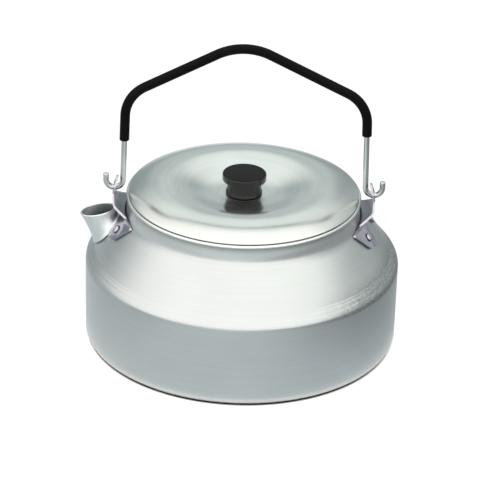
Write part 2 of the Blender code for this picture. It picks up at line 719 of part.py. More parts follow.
def bail_arms(left, right):
    """Return the corners of the bail between two leg corners, over both shoulders and the peak."""
    shoulder = LEG_OUT - BAIL_LEG_LEAN
    return [
        left,
        (-shoulder, BAIL_SHOULDER_HEIGHT, BAIL_SHOULDER_RADIUS),
        (BAIL_PEAK_SHIFT, BAIL_HEIGHT, BAIL_PEAK_RADIUS),
        (shoulder, BAIL_SHOULDER_HEIGHT, BAIL_SHOULDER_RADIUS),
        right,
    ]


def leg_at(height):
    """Return a leg's distance from the body's axis at a height above the pivot."""
    return LEG_OUT - BAIL_LEG_LEAN * height / BAIL_SHOULDER_HEIGHT


def build_bail(group, cutters, parent, steel, rubber):
    """Bend the wire with its two open hooks, and pull the grip tube over its arms."""
    limb = HOOK_OUT + HOOK_RADIUS
    arms = bail_arms((-LEG_OUT, 0, HOOK_RADIUS), (LEG_OUT, 0, HOOK_RADIUS))
    path = [(-limb, HOOK_LIMB, 0), (-limb, 0, HOOK_RADIUS)] + arms
    path += [(limb, 0, HOOK_RADIUS), (limb, HOOK_LIMB, 0)]
    wire = tube("bail_wire", rounded(path), WIRE_RADIUS, 3, group)
    wire.data.materials.append(steel)
    wire.parent = parent
    shade_round(wire)
    overrun = 2 * GRIP_RADIUS
    ends = (GRIP_END_LEFT, GRIP_END_RIGHT)
    sleeve_arms = bail_arms((-leg_at(ends[0]), ends[0], 0), (leg_at(ends[1]), ends[1], 0))
    sleeve = tube("grip_sleeve", rounded(sleeve_arms), GRIP_RADIUS, 3, group)
    bore_arms = bail_arms(
        (-leg_at(ends[0] - overrun), ends[0] - overrun, 0),
        (leg_at(ends[1] - overrun), ends[1] - overrun, 0))
    bore = tube("grip_bore", rounded(bore_arms), WIRE_RADIUS + BORE_CLEARANCE, 3, cutters)
    combine(sleeve, bore, "DIFFERENCE")
    grip = convert(sleeve, "bail_grip", group, rubber, parent)
    grip.matrix_world = parent.matrix_world
    shade_round(grip)
    bore.parent = parent


def main():
    """Build the kettle and its cutters."""
    clear_scene()
    kettle = make_collection("camping_kettle")
    cutters = make_collection("cutters")
    aluminium = make_material("spun_aluminium", (0.78, 0.80, 0.80), 0.32, 1.0)
    lid_aluminium = make_material("lid_aluminium", (0.76, 0.78, 0.78), 0.28, 1.0)
    spout_aluminium = make_material("spout_aluminium", (0.74, 0.76, 0.78), 0.25, 1.0)
    plated = make_material("plated_steel", (0.66, 0.66, 0.68), 0.18, 1.0)
    wire_steel = make_material("wire_steel", (0.62, 0.64, 0.65), 0.25, 1.0)
    rubber = make_material("black_rubber", (0.012, 0.012, 0.013), 0.45, 0.0)
    phenolic = make_material("black_phenolic", (0.010, 0.010, 0.011), 0.15, 0.0)
    build_body(kettle, cutters, aluminium)
    build_spout(kettle, spout_aluminium)
    build_lugs(kettle, cutters, plated)
    build_rivets(kettle, plated)
    bail_pivot = add_pivot("bail_pivot", kettle, PIVOT_HEIGHT)
    build_bail(kettle, cutters, bail_pivot, wire_steel, rubber)
    lid_lift = add_pivot("lid_lift", kettle, RIM_HEIGHT)
    build_lid(kettle, lid_lift, lid_aluminium)
    build_knob(kettle, lid_lift, phenolic)
    build_fixing(kettle, cutters, lid_lift, plated)


main()
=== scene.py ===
"""A camping kettle in a pale studio: spun aluminium body and lid, wire bail, black grip and knob.

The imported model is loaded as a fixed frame. Each class below forms one sub-assembly again with the
fine curves of the real object, in metres and in the frame's own place, and gives it its finish.
"""

import functools
import logging
import math
from dataclasses import dataclass
from enum import Enum

import bmesh
import bpy
from mathutils import Matrix, Vector

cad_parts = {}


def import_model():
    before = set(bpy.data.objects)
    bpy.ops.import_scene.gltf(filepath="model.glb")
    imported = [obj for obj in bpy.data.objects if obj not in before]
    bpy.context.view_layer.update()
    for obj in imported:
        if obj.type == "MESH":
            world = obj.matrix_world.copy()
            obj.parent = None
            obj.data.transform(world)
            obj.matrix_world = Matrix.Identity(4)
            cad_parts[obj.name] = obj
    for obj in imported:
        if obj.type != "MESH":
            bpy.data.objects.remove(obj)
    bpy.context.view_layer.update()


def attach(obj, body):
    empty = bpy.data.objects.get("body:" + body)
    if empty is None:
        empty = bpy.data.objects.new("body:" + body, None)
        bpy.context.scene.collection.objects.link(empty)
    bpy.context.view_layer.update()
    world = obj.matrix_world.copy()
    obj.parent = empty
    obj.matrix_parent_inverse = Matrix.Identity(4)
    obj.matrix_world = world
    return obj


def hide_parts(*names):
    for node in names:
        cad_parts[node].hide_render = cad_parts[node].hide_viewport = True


LOG = logging.getLogger("camping_kettle")
MM = 0.001
# Points closer than WELD are one, and a ring closer to the axis than ON_AXIS is a single point
WELD = 0.002 * MM
ON_AXIS = 0.001 * MM
# A fold above this angle stays crisp in the shading
CRISP = math.radians(50)
# Guard points beside an arc: largest share of the free side, and the least distance worth one
GUARD_SHARE = 0.45
LEAST_GUARD = 0.02 * MM
LEAST_ARC_STEPS = 3

Ring = list[Vector]
Corner = tuple[float, float, float]
Stops = tuple[tuple[float, str], ...]
Tree = bpy.types.NodeTree
Socket = bpy.types.NodeSocket


class Body(Enum):
    """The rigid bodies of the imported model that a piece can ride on."""

    KETTLE = "kettle"
    BAIL = "bail"
    LID = "lid"


class Grain(Enum):
    """The direction in which a metal's fine working marks run."""

    RINGS = "rings"
    ALONG = "along"


class Trim(Enum):
    """What a cutter takes from a piece: the part inside it, or all that is outside it."""

    INSIDE = "DIFFERENCE"
    OUTSIDE = "INTERSECT"


# ---- Colour and node helpers ----


def linear(code: str) -> tuple[float, float, float, float]:
    """Turn an sRGB hex colour into linear values.

    Args:
        code: Six hex digits with a leading hash mark.

    Returns:
        Red, green, blue and an alpha of one.
    """
    values = []
    for start in (1, 3, 5):
        channel = int(code[start:start + 2], 16) / 255
        bright = ((channel + 0.055) / 1.055) ** 2.4
        values.append(channel / 12.92 if channel <= 0.04045 else bright)
    return values[0], values[1], values[2], 1.0


def add_node(
    tree: Tree,
    kind: str,
    inputs: dict[str | int, object] | None = None,
    stops: Stops = (),
    **settings: object,
) -> bpy.types.Node:
    """Add one node with its settings, values, links and colour stops.

    Args:
        tree: The node tree that gets the node.
        kind: Blender's type name of the node.
        inputs: Socket name or number to a value, or to an output socket to link from.
        stops: Positions from 0 to 1 with their sRGB hex colours, for a node that has them.
        settings: Attributes of the node itself.

    Returns:
        The new node.
    """
    node = tree.nodes.new(kind)
    for name, value in settings.items():
        setattr(node, name, value)
    for socket, value in (inputs or {}).items():
        if isinstance(value, Socket):
            tree.links.new(value, node.inputs[socket])
        else:
            node.inputs[socket].default_value = value
    if stops:
        elements = node.color_ramp.elements
        while len(elements) < len(stops):
            elements.new(1.0)
        for element, (position, code) in zip(elements, stops):
            element.position = position
            element.color = linear(code)
    return node


def empty_material(name: str) -> tuple[bpy.types.Material, Tree]:
    """Make a material without nodes.

    Args:
        name: Name of the material.

    Returns:
        The material and its node tree.
    """
    material = bpy.data.materials.new(name)
    material.use_nodes = True
    tree = material.node_tree
    tree.nodes.clear()
    return material, tree


def from_axis(tree: Tree, split: bpy.types.Node) -> Socket:
    """Work out the distance from the kettle's axis.

    Args:
        tree: The node tree.
        split: The node that gives X and Y apart.

    Returns:
        The socket with the distance.
    """
    flat = add_node(tree, "ShaderNodeCombineXYZ", {
        "X": split.outputs["X"], "Y": split.outputs["Y"]})
    distance = add_node(tree, "ShaderNodeVectorMath", {
        0: flat.outputs["Vector"]}, operation="LENGTH")
    return distance.outputs["Value"]


# ---- Finishes ----


@dataclass(frozen=True)
class WorkedMetal:
    """A bare metal sheet or wire; its forming left fine marks, so its shine is soft and streaked.

    The marks blur a reflection across their run and leave it sharper along it, and the uneven
    pressure of the tool shows as slow changes of roughness. The real marks are a tenth or two of a
    millimetre apart, and they are drawn coarser, so that they show.
    """

    name: str
    colour: str
    shade: str
    roughness: float
    spread: float
    grain: Grain
    mark_mm: float
    band_mm: float
    bump: float
    anisotropy: float = 0.0
    cloud_mm: float = 26.316
    dent_mm: float = 0.02
    stretch: float = 0.12
    drift: float = 0.012

    @functools.cache
    def build(self) -> bpy.types.Material:
        """Build the node material once, for all the pieces that have it.

        Returns:
            The finished material.
        """
        material, tree = empty_material(self.name)
        place = add_node(tree, "ShaderNodeTexCoord").outputs["Object"]
        lines = self._lines(tree, place)
        marks = add_node(tree, "ShaderNodeTexNoise", {
            "Vector": lines, "Scale": 1 / (self.mark_mm * MM), "Detail": 2.0, "Roughness": 0.6})
        bands = add_node(tree, "ShaderNodeTexNoise", {
            "Vector": lines, "Scale": 1 / (self.band_mm * MM), "Detail": 3.0, "Roughness": 0.55})
        clouds = add_node(tree, "ShaderNodeTexNoise", {
            "Vector": place, "Scale": 1 / (self.cloud_mm * MM), "Detail": 3.0})
        mixed = add_node(tree, "ShaderNodeMath", {
            0: bands.outputs["Fac"], 1: clouds.outputs["Fac"]}, operation="ADD")
        half = add_node(tree, "ShaderNodeMath", {
            0: mixed.outputs[0], 1: 0.5}, operation="MULTIPLY")
        tone = add_node(tree, "ShaderNodeValToRGB", {"Fac": half.outputs[0]}, (
            (0.36, self.shade), (0.60, self.colour)))
        rough = add_node(tree, "ShaderNodeMapRange", {
            "Value": half.outputs[0], "From Min": 0.3, "From Max": 0.7,
            "To Min": self.roughness - self.spread, "To Max": self.roughness + self.spread})
        height = add_node(tree, "ShaderNodeMath", {
            0: marks.outputs["Fac"], 1: bands.outputs["Fac"]}, operation="ADD")
        bump = add_node(tree, "ShaderNodeBump", {
            "Strength": self.bump, "Distance": self.dent_mm * MM, "Height": height.outputs[0]})
        shader = add_node(tree, "ShaderNodeBsdfPrincipled", {
            "Base Color": self.tone(tree, place, tone.outputs["Color"]), "Metallic": 1.0,
            "Roughness": rough.outputs["Result"], "Normal": bump.outputs["Normal"],
            "Anisotropic": self.anisotropy})
        if self.anisotropy:
            tangent = add_node(tree, "ShaderNodeTangent", direction_type="RADIAL", axis="Z")
            tree.links.new(tangent.outputs["Tangent"], shader.inputs["Tangent"])
        add_node(tree, "ShaderNodeOutputMaterial", {"Surface": shader.outputs["BSDF"]})
        return material

    def tone(self, tree: Tree, place: Socket, colour: Socket) -> Socket:
        """Return the metal's colour as it is; a metal with painted shade and highlight changes it.
        """
        return colour

    def _lines(self, tree: Tree, place: Socket) -> Socket:
        """Form coordinates that hold still along the metal's marks and change across them.

        Args:
            tree: The node tree.
            place: The object's own coordinates.

        Returns:
            The socket with the new coordinates.
        """
        if self.grain is Grain.ALONG:
            return add_node(tree, "ShaderNodeVectorMath", {
                0: place, 1: (1.0, 1.0, self.stretch)}, operation="MULTIPLY").outputs["Vector"]
        split = add_node(tree, "ShaderNodeSeparateXYZ", {"Vector": place})
        drift = add_node(tree, "ShaderNodeMath", {
            0: split.outputs["X"], 1: self.drift}, operation="MULTIPLY")
        return add_node(tree, "ShaderNodeCombineXYZ", {
            "X": from_axis(tree, split), "Y": split.outputs["Z"],
            "Z": drift.outputs[0]}).outputs["Vector"]


@dataclass(frozen=True)
class PaintedLightMetal(WorkedMetal):
    """A spun shell with a painted shade on its shoulder's sides and a painted highlight on its neck.

    The painted shade stands for the dark room that the shoulder's sides mirror. It starts between
    the radii inner and outer, above the height low, and grows from near to far on both sides of a
    plane that lies shift to the left. The neck's painted highlight starts between neck_low and
    neck_high.
    """

    # Colours of the painted shade on the shoulder's sides and of the painted highlight on the neck
    painted_side_shade: str = "#8C9191"
    painted_neck_highlight: str = "#C8CDCC"
    neck_low: float = 74.5 * MM
    neck_high: float = 77 * MM
    inner: float = 78 * MM
    outer: float = 85 * MM
    low: float = 45 * MM
    shift: float = 16 * MM
    near: float = 50 * MM
    far: float = 92 * MM
    speck_mm: float = 0.909

    def tone(self, tree: Tree, place: Socket, colour: Socket) -> Socket:
        """Mix the painted shade of the shoulder's sides and the painted neck highlight into the
        colour.

        Args:
            tree: The node tree.
            place: The object's own coordinates.
            colour: The metal's own colour, before the painted shade and highlight.

        Returns:
            The socket with the mixed colour.
        """
        split = add_node(tree, "ShaderNodeSeparateXYZ", {"Vector": place})
        outward = add_node(tree, "ShaderNodeMapRange", {
            "Value": from_axis(tree, split), "From Min": self.inner, "From Max": self.outer},
            interpolation_type="SMOOTHSTEP")
        shifted = add_node(tree, "ShaderNodeMath", {
            0: split.outputs["X"], 1: self.shift}, operation="ADD")
        beside = add_node(tree, "ShaderNodeMath", {0: shifted.outputs[0]}, operation="ABSOLUTE")
        sides = add_node(tree, "ShaderNodeMapRange", {
            "Value": beside.outputs[0], "From Min": self.near, "From Max": self.far},
            interpolation_type="SMOOTHSTEP")
        above = add_node(tree, "ShaderNodeMath", {
            0: split.outputs["Z"], 1: self.low}, operation="GREATER_THAN")
        stretched = add_node(tree, "ShaderNodeVectorMath", {
            0: place, 1: (0.4, 0.4, 1.6)}, operation="MULTIPLY")
        specks = add_node(tree, "ShaderNodeTexNoise", {
            "Vector": stretched.outputs["Vector"], "Scale": 1 / (self.speck_mm * MM),
            "Detail": 2.0, "Roughness": 0.8})
        patch = add_node(tree, "ShaderNodeMapRange", {
            "Value": specks.outputs["Fac"], "From Min": 0.40, "From Max": 0.60,
            "To Min": 0.30, "To Max": 1.25})
        share = outward.outputs["Result"]
        for other in (sides.outputs["Result"], above.outputs[0], patch.outputs["Result"]):
            share = add_node(tree, "ShaderNodeMath", {
                0: share, 1: other}, operation="MULTIPLY").outputs[0]
        # Painted shade: the shoulder's sides darker, standing for the dark room that they mirror
        wear_and_painted_shade = add_node(tree, "ShaderNodeMix", {
            0: share, 6: colour, 7: linear(self.painted_side_shade)}, data_type="RGBA").outputs[2]
        # Painted highlight: the neck lighter than the rest of the shell
        neck = add_node(tree, "ShaderNodeMapRange", {
            "Value": split.outputs["Z"], "From Min": self.neck_low, "From Max": self.neck_high})
        return add_node(tree, "ShaderNodeMix", {
            0: neck.outputs["Result"], 6: wear_and_painted_shade, 7: linear(self.painted_neck_highlight)},
            data_type="RGBA").outputs[2]


@dataclass(frozen=True)
class BlackPolymer:
    """A black moulded or extruded polymer: dark through and through, and its skin alone shines.

    Its top faces, which lie level, can shine less than its sides: its reflection is turned down
    by facing, a painted shade on the tops.
    """

    name: str
    colour: str
    wear_and_painted_shade: str
    roughness: float
    spread: float
    grain_mm: float
    bump: float
    top_specular: float
    side_specular: float
    cloud_mm: float = 8.3333
    dent_mm: float = 0.03

    @functools.cache
    def build(self) -> bpy.types.Material:
        """Build the node material once, for all the pieces that have it.

        Returns:
            The finished material.
        """
        material, tree = empty_material(self.name)
        coordinates = add_node(tree, "ShaderNodeTexCoord")
        place = coordinates.outputs["Object"]
        grain = add_node(tree, "ShaderNodeTexNoise", {
            "Vector": place, "Scale": 1 / (self.grain_mm * MM), "Detail": 4.0, "Roughness": 0.6})
        clouds = add_node(tree, "ShaderNodeTexNoise", {
            "Vector": place, "Scale": 1 / (self.cloud_mm * MM), "Detail": 2.0})
        tone = add_node(tree, "ShaderNodeValToRGB", {"Fac": clouds.outputs["Fac"]}, (
            (0.35, self.colour), (0.75, self.wear_and_painted_shade)))
        rough = add_node(tree, "ShaderNodeMapRange", {
            "Value": grain.outputs["Fac"], "From Min": 0.3, "From Max": 0.7,
            "To Min": self.roughness - self.spread, "To Max": self.roughness + self.spread})
        bump = add_node(tree, "ShaderNodeBump", {
            "Strength": self.bump, "Distance": self.dent_mm * MM, "Height": grain.outputs["Fac"]})
        # Reflection turned down on faces that point up: a painted shade on the tops
        facing = add_node(tree, "ShaderNodeSeparateXYZ", {"Vector": coordinates.outputs["Normal"]})
        specular = add_node(tree, "ShaderNodeMapRange", {
            "Value": facing.outputs["Z"], "From Min": 0.5, "From Max": 0.95,
            "To Min": self.side_specular, "To Max": self.top_specular})
        shader = add_node(tree, "ShaderNodeBsdfPrincipled", {
            "Base Color": tone.outputs["Color"], "Metallic": 0.0, "IOR": 1.5,
            "Roughness": rough.outputs["Result"], "Normal": bump.outputs["Normal"],
            "Specular IOR Level": specular.outputs["Result"]})
        add_node(tree, "ShaderNodeOutputMaterial", {"Surface": shader.outputs["BSDF"]})
        return material


Finish = WorkedMetal | BlackPolymer

# Spun aluminium sheet, left satin: soft grey shine with rings from the spinning tool
# Its shoulder's sides carry a painted shade, and its neck a painted highlight
SPUN_BODY = PaintedLightMetal(
    name="spun_aluminium_satin", colour="#B3B9BA", shade="#AEB4B5", roughness=0.35, spread=0.03,
    grain=Grain.RINGS, mark_mm=0.45, band_mm=1.9, bump=0.10, anisotropy=0.35)
# Spun aluminium sheet, lightly buffed: clearer reflection than the body, finer rings
SPUN_LID = WorkedMetal(
    name="spun_aluminium_buffed", colour="#C4C9C8", shade="#BBC0BF", roughness=0.22, spread=0.03,
    grain=Grain.RINGS, mark_mm=0.40, band_mm=2.6, bump=0.05, anisotropy=0.25)
# Drawn aluminium tube, lightly polished: smooth shine with faint drawing marks
DRAWN_SPOUT = WorkedMetal(
    name="drawn_aluminium", colour="#CDD3D5", shade="#C3CACC", roughness=0.38, spread=0.03,
    grain=Grain.ALONG, mark_mm=0.50, band_mm=2.0, bump=0.08)
# The tube's bore, rougher than its outside: nearly black down the hole, a painted shade
PAINTED_SHADE_BORE = WorkedMetal(
    name="drawn_aluminium_painted_shade", colour="#303335", shade="#0E0F10", roughness=0.45, spread=0.08,
    grain=Grain.ALONG, mark_mm=0.50, band_mm=2.0, bump=0.15)
# Pressed steel with bright zinc plating: near mirror with a faint lilac cast
PLATED_STEEL = WorkedMetal(
    name="bright_plated_steel", colour="#B4B2BC", shade="#9C9AA6", roughness=0.13, spread=0.04,
    grain=Grain.ALONG, mark_mm=0.60, band_mm=2.2, bump=0.10)
# Drawn stainless spring wire: narrow highlight along its length
DRAWN_WIRE = WorkedMetal(
    name="drawn_stainless_wire", colour="#BFC4C4", shade="#ABB0B0", roughness=0.22, spread=0.04,
    grain=Grain.ALONG, mark_mm=0.40, band_mm=2.4, bump=0.10)
# Soft vinyl tube, pulled on warm: black with a soft broad sheen
VINYL_TUBE = BlackPolymer(
    name="black_vinyl_tube", colour="#060607", wear_and_painted_shade="#09090A", roughness=0.40, spread=0.05,
    grain_mm=0.35, bump=0.10, top_specular=0.05, side_specular=0.04)
# Phenolic resin, moulded against a polished steel mould: deep black with a clear gloss
PHENOLIC = BlackPolymer(
    name="black_phenolic_moulding", colour="#060708", wear_and_painted_shade="#0A0B0C", roughness=0.06, spread=0.02,
    grain_mm=0.60, bump=0.03, top_specular=0.06, side_specular=0.36)


# ---- Mesh helpers ----


def full_turn(steps: int) -> list[float]:
    """Return evenly spaced angles round a full turn."""
    return [math.tau * number / steps for number in range(steps)]


def arc(centre: Vector, radius: float, start: float, sweep: float, steps: int) -> Ring:
    """Return points on an arc.

    Args:
        centre: Middle of the arc.
        radius: Its radius.
        start: Angle of its first point.
        sweep: Angle from the first point to the last.
        steps: Number of its sides.

    Returns:
        The points, both ends included.
    """
    turns = [start + sweep * number / steps for number in range(steps + 1)]
    return [centre + radius * Vector((math.cos(turn), math.sin(turn))) for turn in turns]


def middle_of(ring: Ring) -> Vector:
    """Return the mean of a ring's points."""
    return sum(ring, Vector()) / len(ring)


def runs(path: Ring) -> Ring:
    """Return the direction of a path at each of its points."""
    last = len(path) - 1
    return [(path[min(i + 1, last)] - path[max(i - 1, 0)]).normalized() for i in range(last + 1)]


def rounded(
    corners: list[Corner], step: float = math.radians(6), guard: float = 0.25 * MM
) -> Ring:
    """Turn a path's corners into fine arcs, with a guard point on each side of an arc.

    Args:
        corners: Points (x, z, radius) of the path.
        step: Largest angle between two points of an arc.
        guard: Distance of the guard points, which keep the shading of flat sides flat.

    Returns:
        The points of the rounded path.
    """
    flat = [Vector(corner[:2]) for corner in corners]
    turns, reaches = [0.0] * len(corners), [0.0] * len(corners)
    for index in range(1, len(corners) - 1):
        if corners[index][2]:
            turns[index] = (flat[index] - flat[index - 1]).angle(flat[index + 1] - flat[index])
            reaches[index] = corners[index][2] * math.tan(turns[index] / 2)
    points: Ring = []
    for index, corner in enumerate(flat):
        if not turns[index]:
            points.append(corner)
            continue
        radius, turn, reach = corners[index][2], turns[index], reaches[index]
        sides = []
        for beside in (index - 1, index + 1):
            way = flat[beside] - corner
            spare = way.length - reach - reaches[beside]
            sides.append((way.normalized(), min(guard, GUARD_SHARE * spare)))
        (back, back_guard), (ahead, ahead_guard) = sides
        centre = corner + (back + ahead).normalized() * radius / math.cos(turn / 2)
        start = corner + back * reach - centre
        sign = math.copysign(1, start.cross(corner + ahead * reach - centre))
        steps = max(LEAST_ARC_STEPS, math.ceil(turn / step))
        if back_guard > LEAST_GUARD:
            points.append(corner + back * (reach + back_guard))
        for number in range(steps + 1):
            points.append(centre + Matrix.Rotation(sign * turn * number / steps, 2) @ start)
        if ahead_guard > LEAST_GUARD:
            points.append(corner + ahead * (reach + ahead_guard))
    return points


def parallel(corners: list[Corner], distance: float) -> list[Corner]:
    """Move a path to the right of its run, with radii that keep the arcs parallel.

    Args:
        corners: Points (x, z, radius) of the path.
        distance: How far the path moves.

    Returns:
        The moved corners.
    """
    sides = [(Vector(b[:2]) - Vector(a[:2])).normalized() for a, b in zip(corners, corners[1:])]
    moved: list[Corner] = []
    for index, (x, z, radius) in enumerate(corners):
        before = sides[max(index - 1, 0)]
        after = sides[min(index, len(sides) - 1)]
        normal = Vector((before.y + after.y, -before.x - after.x)).normalized()
        point = Vector((x, z)) + normal * distance / normal.dot(Vector((before.y, -before.x)))
        grown = radius - distance if before.cross(after) < 0 else radius + distance
        moved.append((point.x, point.y, grown if radius else 0.0))
    return moved


def divided(points: Ring, longest: float) -> Ring:
    """Split a path's long sides.

    Args:
        points: The path.
        longest: The longest side that stays whole.

    Returns:
        The path with more points.
    """
    result: Ring = [points[0]]
    for a, b in zip(points, points[1:]):
        count = max(1, math.ceil((b - a).length / longest))
        result += [a.lerp(b, number / count) for number in range(1, count + 1)]
    return result


def shade(mesh: bpy.types.Mesh, crisp: float = CRISP) -> None:
    """Shade a mesh smooth, but for its folds above an angle."""
    mesh.shade_smooth()
    mesh.set_sharp_from_angle(angle=crisp)


def mesh_object(name: str, points: list[Vector], faces: list[list[int]]) -> bpy.types.Object:
    """Make a smooth-shaded object out of points and faces, with outward normals.

    Args:
        name: Name of the object.
        points: The vertices.
        faces: Vertex numbers of each face.

    Returns:
        The new object, linked to the scene.
    """
    mesh = bpy.data.meshes.new(name)
    mesh.from_pydata(points, [], faces)
    work = bmesh.new()
    work.from_mesh(mesh)
    bmesh.ops.remove_doubles(work, verts=work.verts, dist=WELD)
    bmesh.ops.recalc_face_normals(work, faces=work.faces)
    work.to_mesh(mesh)
    work.free()
    shade(mesh)
    piece = bpy.data.objects.new(name, mesh)
    bpy.context.scene.collection.objects.link(piece)
    return piece


def joined_rings(name: str, rings: list[Ring], closed: bool) -> bpy.types.Object:
    """Skin a row of rings; a ring of one point is a pole.

    Args:
        name: Name of the object.
        rings: The rings in order, each with the same number of points or with one.
        closed: Whether the last ring is joined to the first.

    Returns:
        The skinned object.
    """
    points = [point for ring in rings for point in ring]
    starts = [0]
    for ring in rings:
        starts.append(starts[-1] + len(ring))
    faces: list[list[int]] = []
    pairs = list(zip(range(len(rings)), range(1, len(rings))))
    if closed:
        pairs.append((len(rings) - 1, 0))
    for low, high in pairs:
        count = max(len(rings[low]), len(rings[high]))
        for number in range(count):
            beside = (number + 1) % count
            face = [starts[low] + (number if len(rings[low]) > 1 else 0)]
            if len(rings[low]) > 1:
                face.append(starts[low] + beside)
            if len(rings[high]) > 1:
                face += [starts[high] + beside, starts[high] + number]
            else:
                face.append(starts[high])
            faces.append(face)
    return mesh_object(name, points, faces)


def capped_rings(name: str, rings: list[Ring]) -> bpy.types.Object:
    """Skin a row of rings and close both ends with a fan.

    Args:
        name: Name of the object.
        rings: The rings in order.

    Returns:
        The closed object.
    """
    return joined_rings(name, [[middle_of(rings[0])], *rings, [middle_of(rings[-1])]], False)


def turned(
    name: str, profile: Ring, steps: int, closed: bool, height: float = 0.0
) -> bpy.types.Object:
    """Turn a profile of (radius, height) points about the kettle's axis.

    Args:
        name: Name of the object.
        profile: The profile's points.
        steps: Number of facets round the axis.
        closed: Whether the profile's last point joins its first.
        height: Height that is added to the profile.

    Returns:
        The turned object.
    """
    rings: list[Ring] = []
    for radius, z in profile:
        if radius < ON_AXIS:
            rings.append([Vector((0, 0, z + height))])
            continue
        rings.append([
            Vector((radius * math.cos(a), radius * math.sin(a), z + height))
            for a in full_turn(steps)])
    return joined_rings(name, rings, closed)


def carve(piece: bpy.types.Object, cutter: bpy.types.Object, trim: Trim) -> None:
    """Cut a piece by another object, which is used up.

    Args:
        piece: The piece that keeps its name.
        cutter: The cutting shape.
        trim: What the cutter takes away.
    """
    modifier = piece.modifiers.new("carve", "BOOLEAN")
    modifier.operation = trim.value
    modifier.solver = "EXACT"
    modifier.object = cutter
    bpy.context.view_layer.update()
    shown = piece.evaluated_get(bpy.context.evaluated_depsgraph_get())
    mesh = bpy.data.meshes.new_from_object(shown)
    piece.modifiers.clear()
    piece.data = mesh
    bpy.data.objects.remove(cutter, do_unlink=True)


def dress(
    piece: bpy.types.Object, node: str, body: Body, slot: str, *finishes: Finish
) -> bpy.types.Object:
    """Give a piece its finish and let it stand for a node of the frame.

    Args:
        piece: The formed piece.
        node: The frame's node that it stands for.
        body: The body that it rides on.
        slot: Name of a material slot; it is not used.
        finishes: The finish, and those of faces with an index of their own.

    Returns:
        The dressed piece.
    """
    piece.data.materials.clear()
    for finish in finishes:
        piece.data.materials.append(finish.build())
    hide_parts(node)
    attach(piece, body.value)
    return piece


# ---- Sub-assemblies ----


@dataclass
class Shell:
    """The spun vessel: flat base, straight wall, sloping shoulder, neck and rolled rim."""

    radius: float = 87.5 * MM
    sheet: float = 1.0 * MM
    base_edge: float = 4.9 * MM
    shoulder_height: float = 47.8 * MM
    shoulder_corner: float = 6.0 * MM
    neck_radius: float = 64.5 * MM
    neck_base: float = 74.8 * MM
    neck_fillet: float = 10.0 * MM
    rim_height: float = 85.8 * MM
    bead_radius: float = 1.1 * MM
    bead_inset: float = 0.4 * MM
    bead_start: float = math.radians(232)
    bead_sweep: float = math.radians(-294)
    bead_steps: int = 30
    scored_radii: tuple[float, ...] = (82.9 * MM, 83.8 * MM, 85.5 * MM)
    score_width: float = 0.30 * MM
    score_depth: float = 0.16 * MM
    base_panel_radius: float = 76.0 * MM
    base_panel_rise: float = 0.35 * MM
    inside_step: float = 4.0 * MM
    steps: int = 224

    @property
    def slope(self) -> float:
        """Angle of the shoulder below level."""
        return math.atan2(self.neck_base - self.shoulder_height, self.radius - self.neck_radius)

    @property
    def normal(self) -> Vector:
        """Direction (outward, up) square to the shoulder."""
        return Vector((math.sin(self.slope), math.cos(self.slope)))

    @property
    def rim_inner(self) -> float:
        """Inner radius of the rolled rim."""
        return self.neck_radius - self.bead_inset - self.bead_radius

    @property
    def rim_outer(self) -> float:
        """Outer radius of the rolled rim."""
        return self.neck_radius - self.bead_inset + self.bead_radius

    def height_at(self, radius: float) -> float:
        """Return the height of the shoulder's straight side at a radius."""
        return self.neck_base - (radius - self.neck_radius) * math.tan(self.slope)

    def above(self, radius: float, distance: float) -> Vector:
        """Return the point (radius, height) at a distance square to the shoulder."""
        return Vector((radius, self.height_at(radius))) + self.normal * distance

    def wall(self) -> list[Corner]:
        """Return the corners of the wall.

        Returns:
            The corners from the rim down to the edge of the base.
        """
        return [
            (self.neck_radius, self.rim_height - 2 * self.bead_radius, 0.0),
            (self.neck_radius, self.neck_base, self.neck_fillet),
            (self.radius, self.shoulder_height, self.shoulder_corner),
            (self.radius, 0.0, self.base_edge),
        ]

    def base(self) -> list[Corner]:
        """Return the corners of the raised base panel, from its edge to the middle."""
        panel, rise = self.base_panel_radius, self.base_panel_rise
        return [(panel + 2 * rise, 0.0, rise), (panel, rise, rise), (0.0, rise, 0.0)]

    def scored(self, path: Ring) -> Ring:
        """Press the fine rings of the spinning tool into the outer part of the shoulder.

        Args:
            path: The outside, from the rim down.

        Returns:
            The path with a shallow groove at each ring.
        """
        result: Ring = []
        for a, b in zip(path, path[1:]):
            result.append(a)
            for radius in self.scored_radii:
                if a.x <= radius < b.x and a.y > b.y > self.shoulder_height / 2:
                    for step, depth in ((-1, 0.0), (0, -self.score_depth), (1, 0.0)):
                        result.append(self.above(radius + step * self.score_width, depth))
        result.append(path[-1])
        return result

    def build(self, hole: bpy.types.Object) -> bpy.types.Object:
        """Form the shell and open its hole for the spout.

        Args:
            hole: The cutter of the hole.

        Returns:
            The shell.
        """
        outside = self.scored(rounded(self.wall() + self.base()))
        inner_path = parallel([*self.wall(), (0.0, 0.0, 0.0)], self.sheet)
        inside = divided(rounded(inner_path), self.inside_step)
        centre = Vector((self.neck_radius - self.bead_inset, self.rim_height - self.bead_radius))
        bead = arc(centre, self.bead_radius, self.bead_start, self.bead_sweep, self.bead_steps)
        shell = turned("body_shell", inside[::-1] + bead + outside, self.steps, False)
        carve(shell, hole, Trim.INSIDE)
        shade(shell.data)
        return shell

    def dressed(self, hole: bpy.types.Object) -> list[bpy.types.Object]:
        """Return the shell with its finish."""
        return [dress(self.build(hole), "kettle_body", Body.KETTLE, "body", SPUN_BODY)]


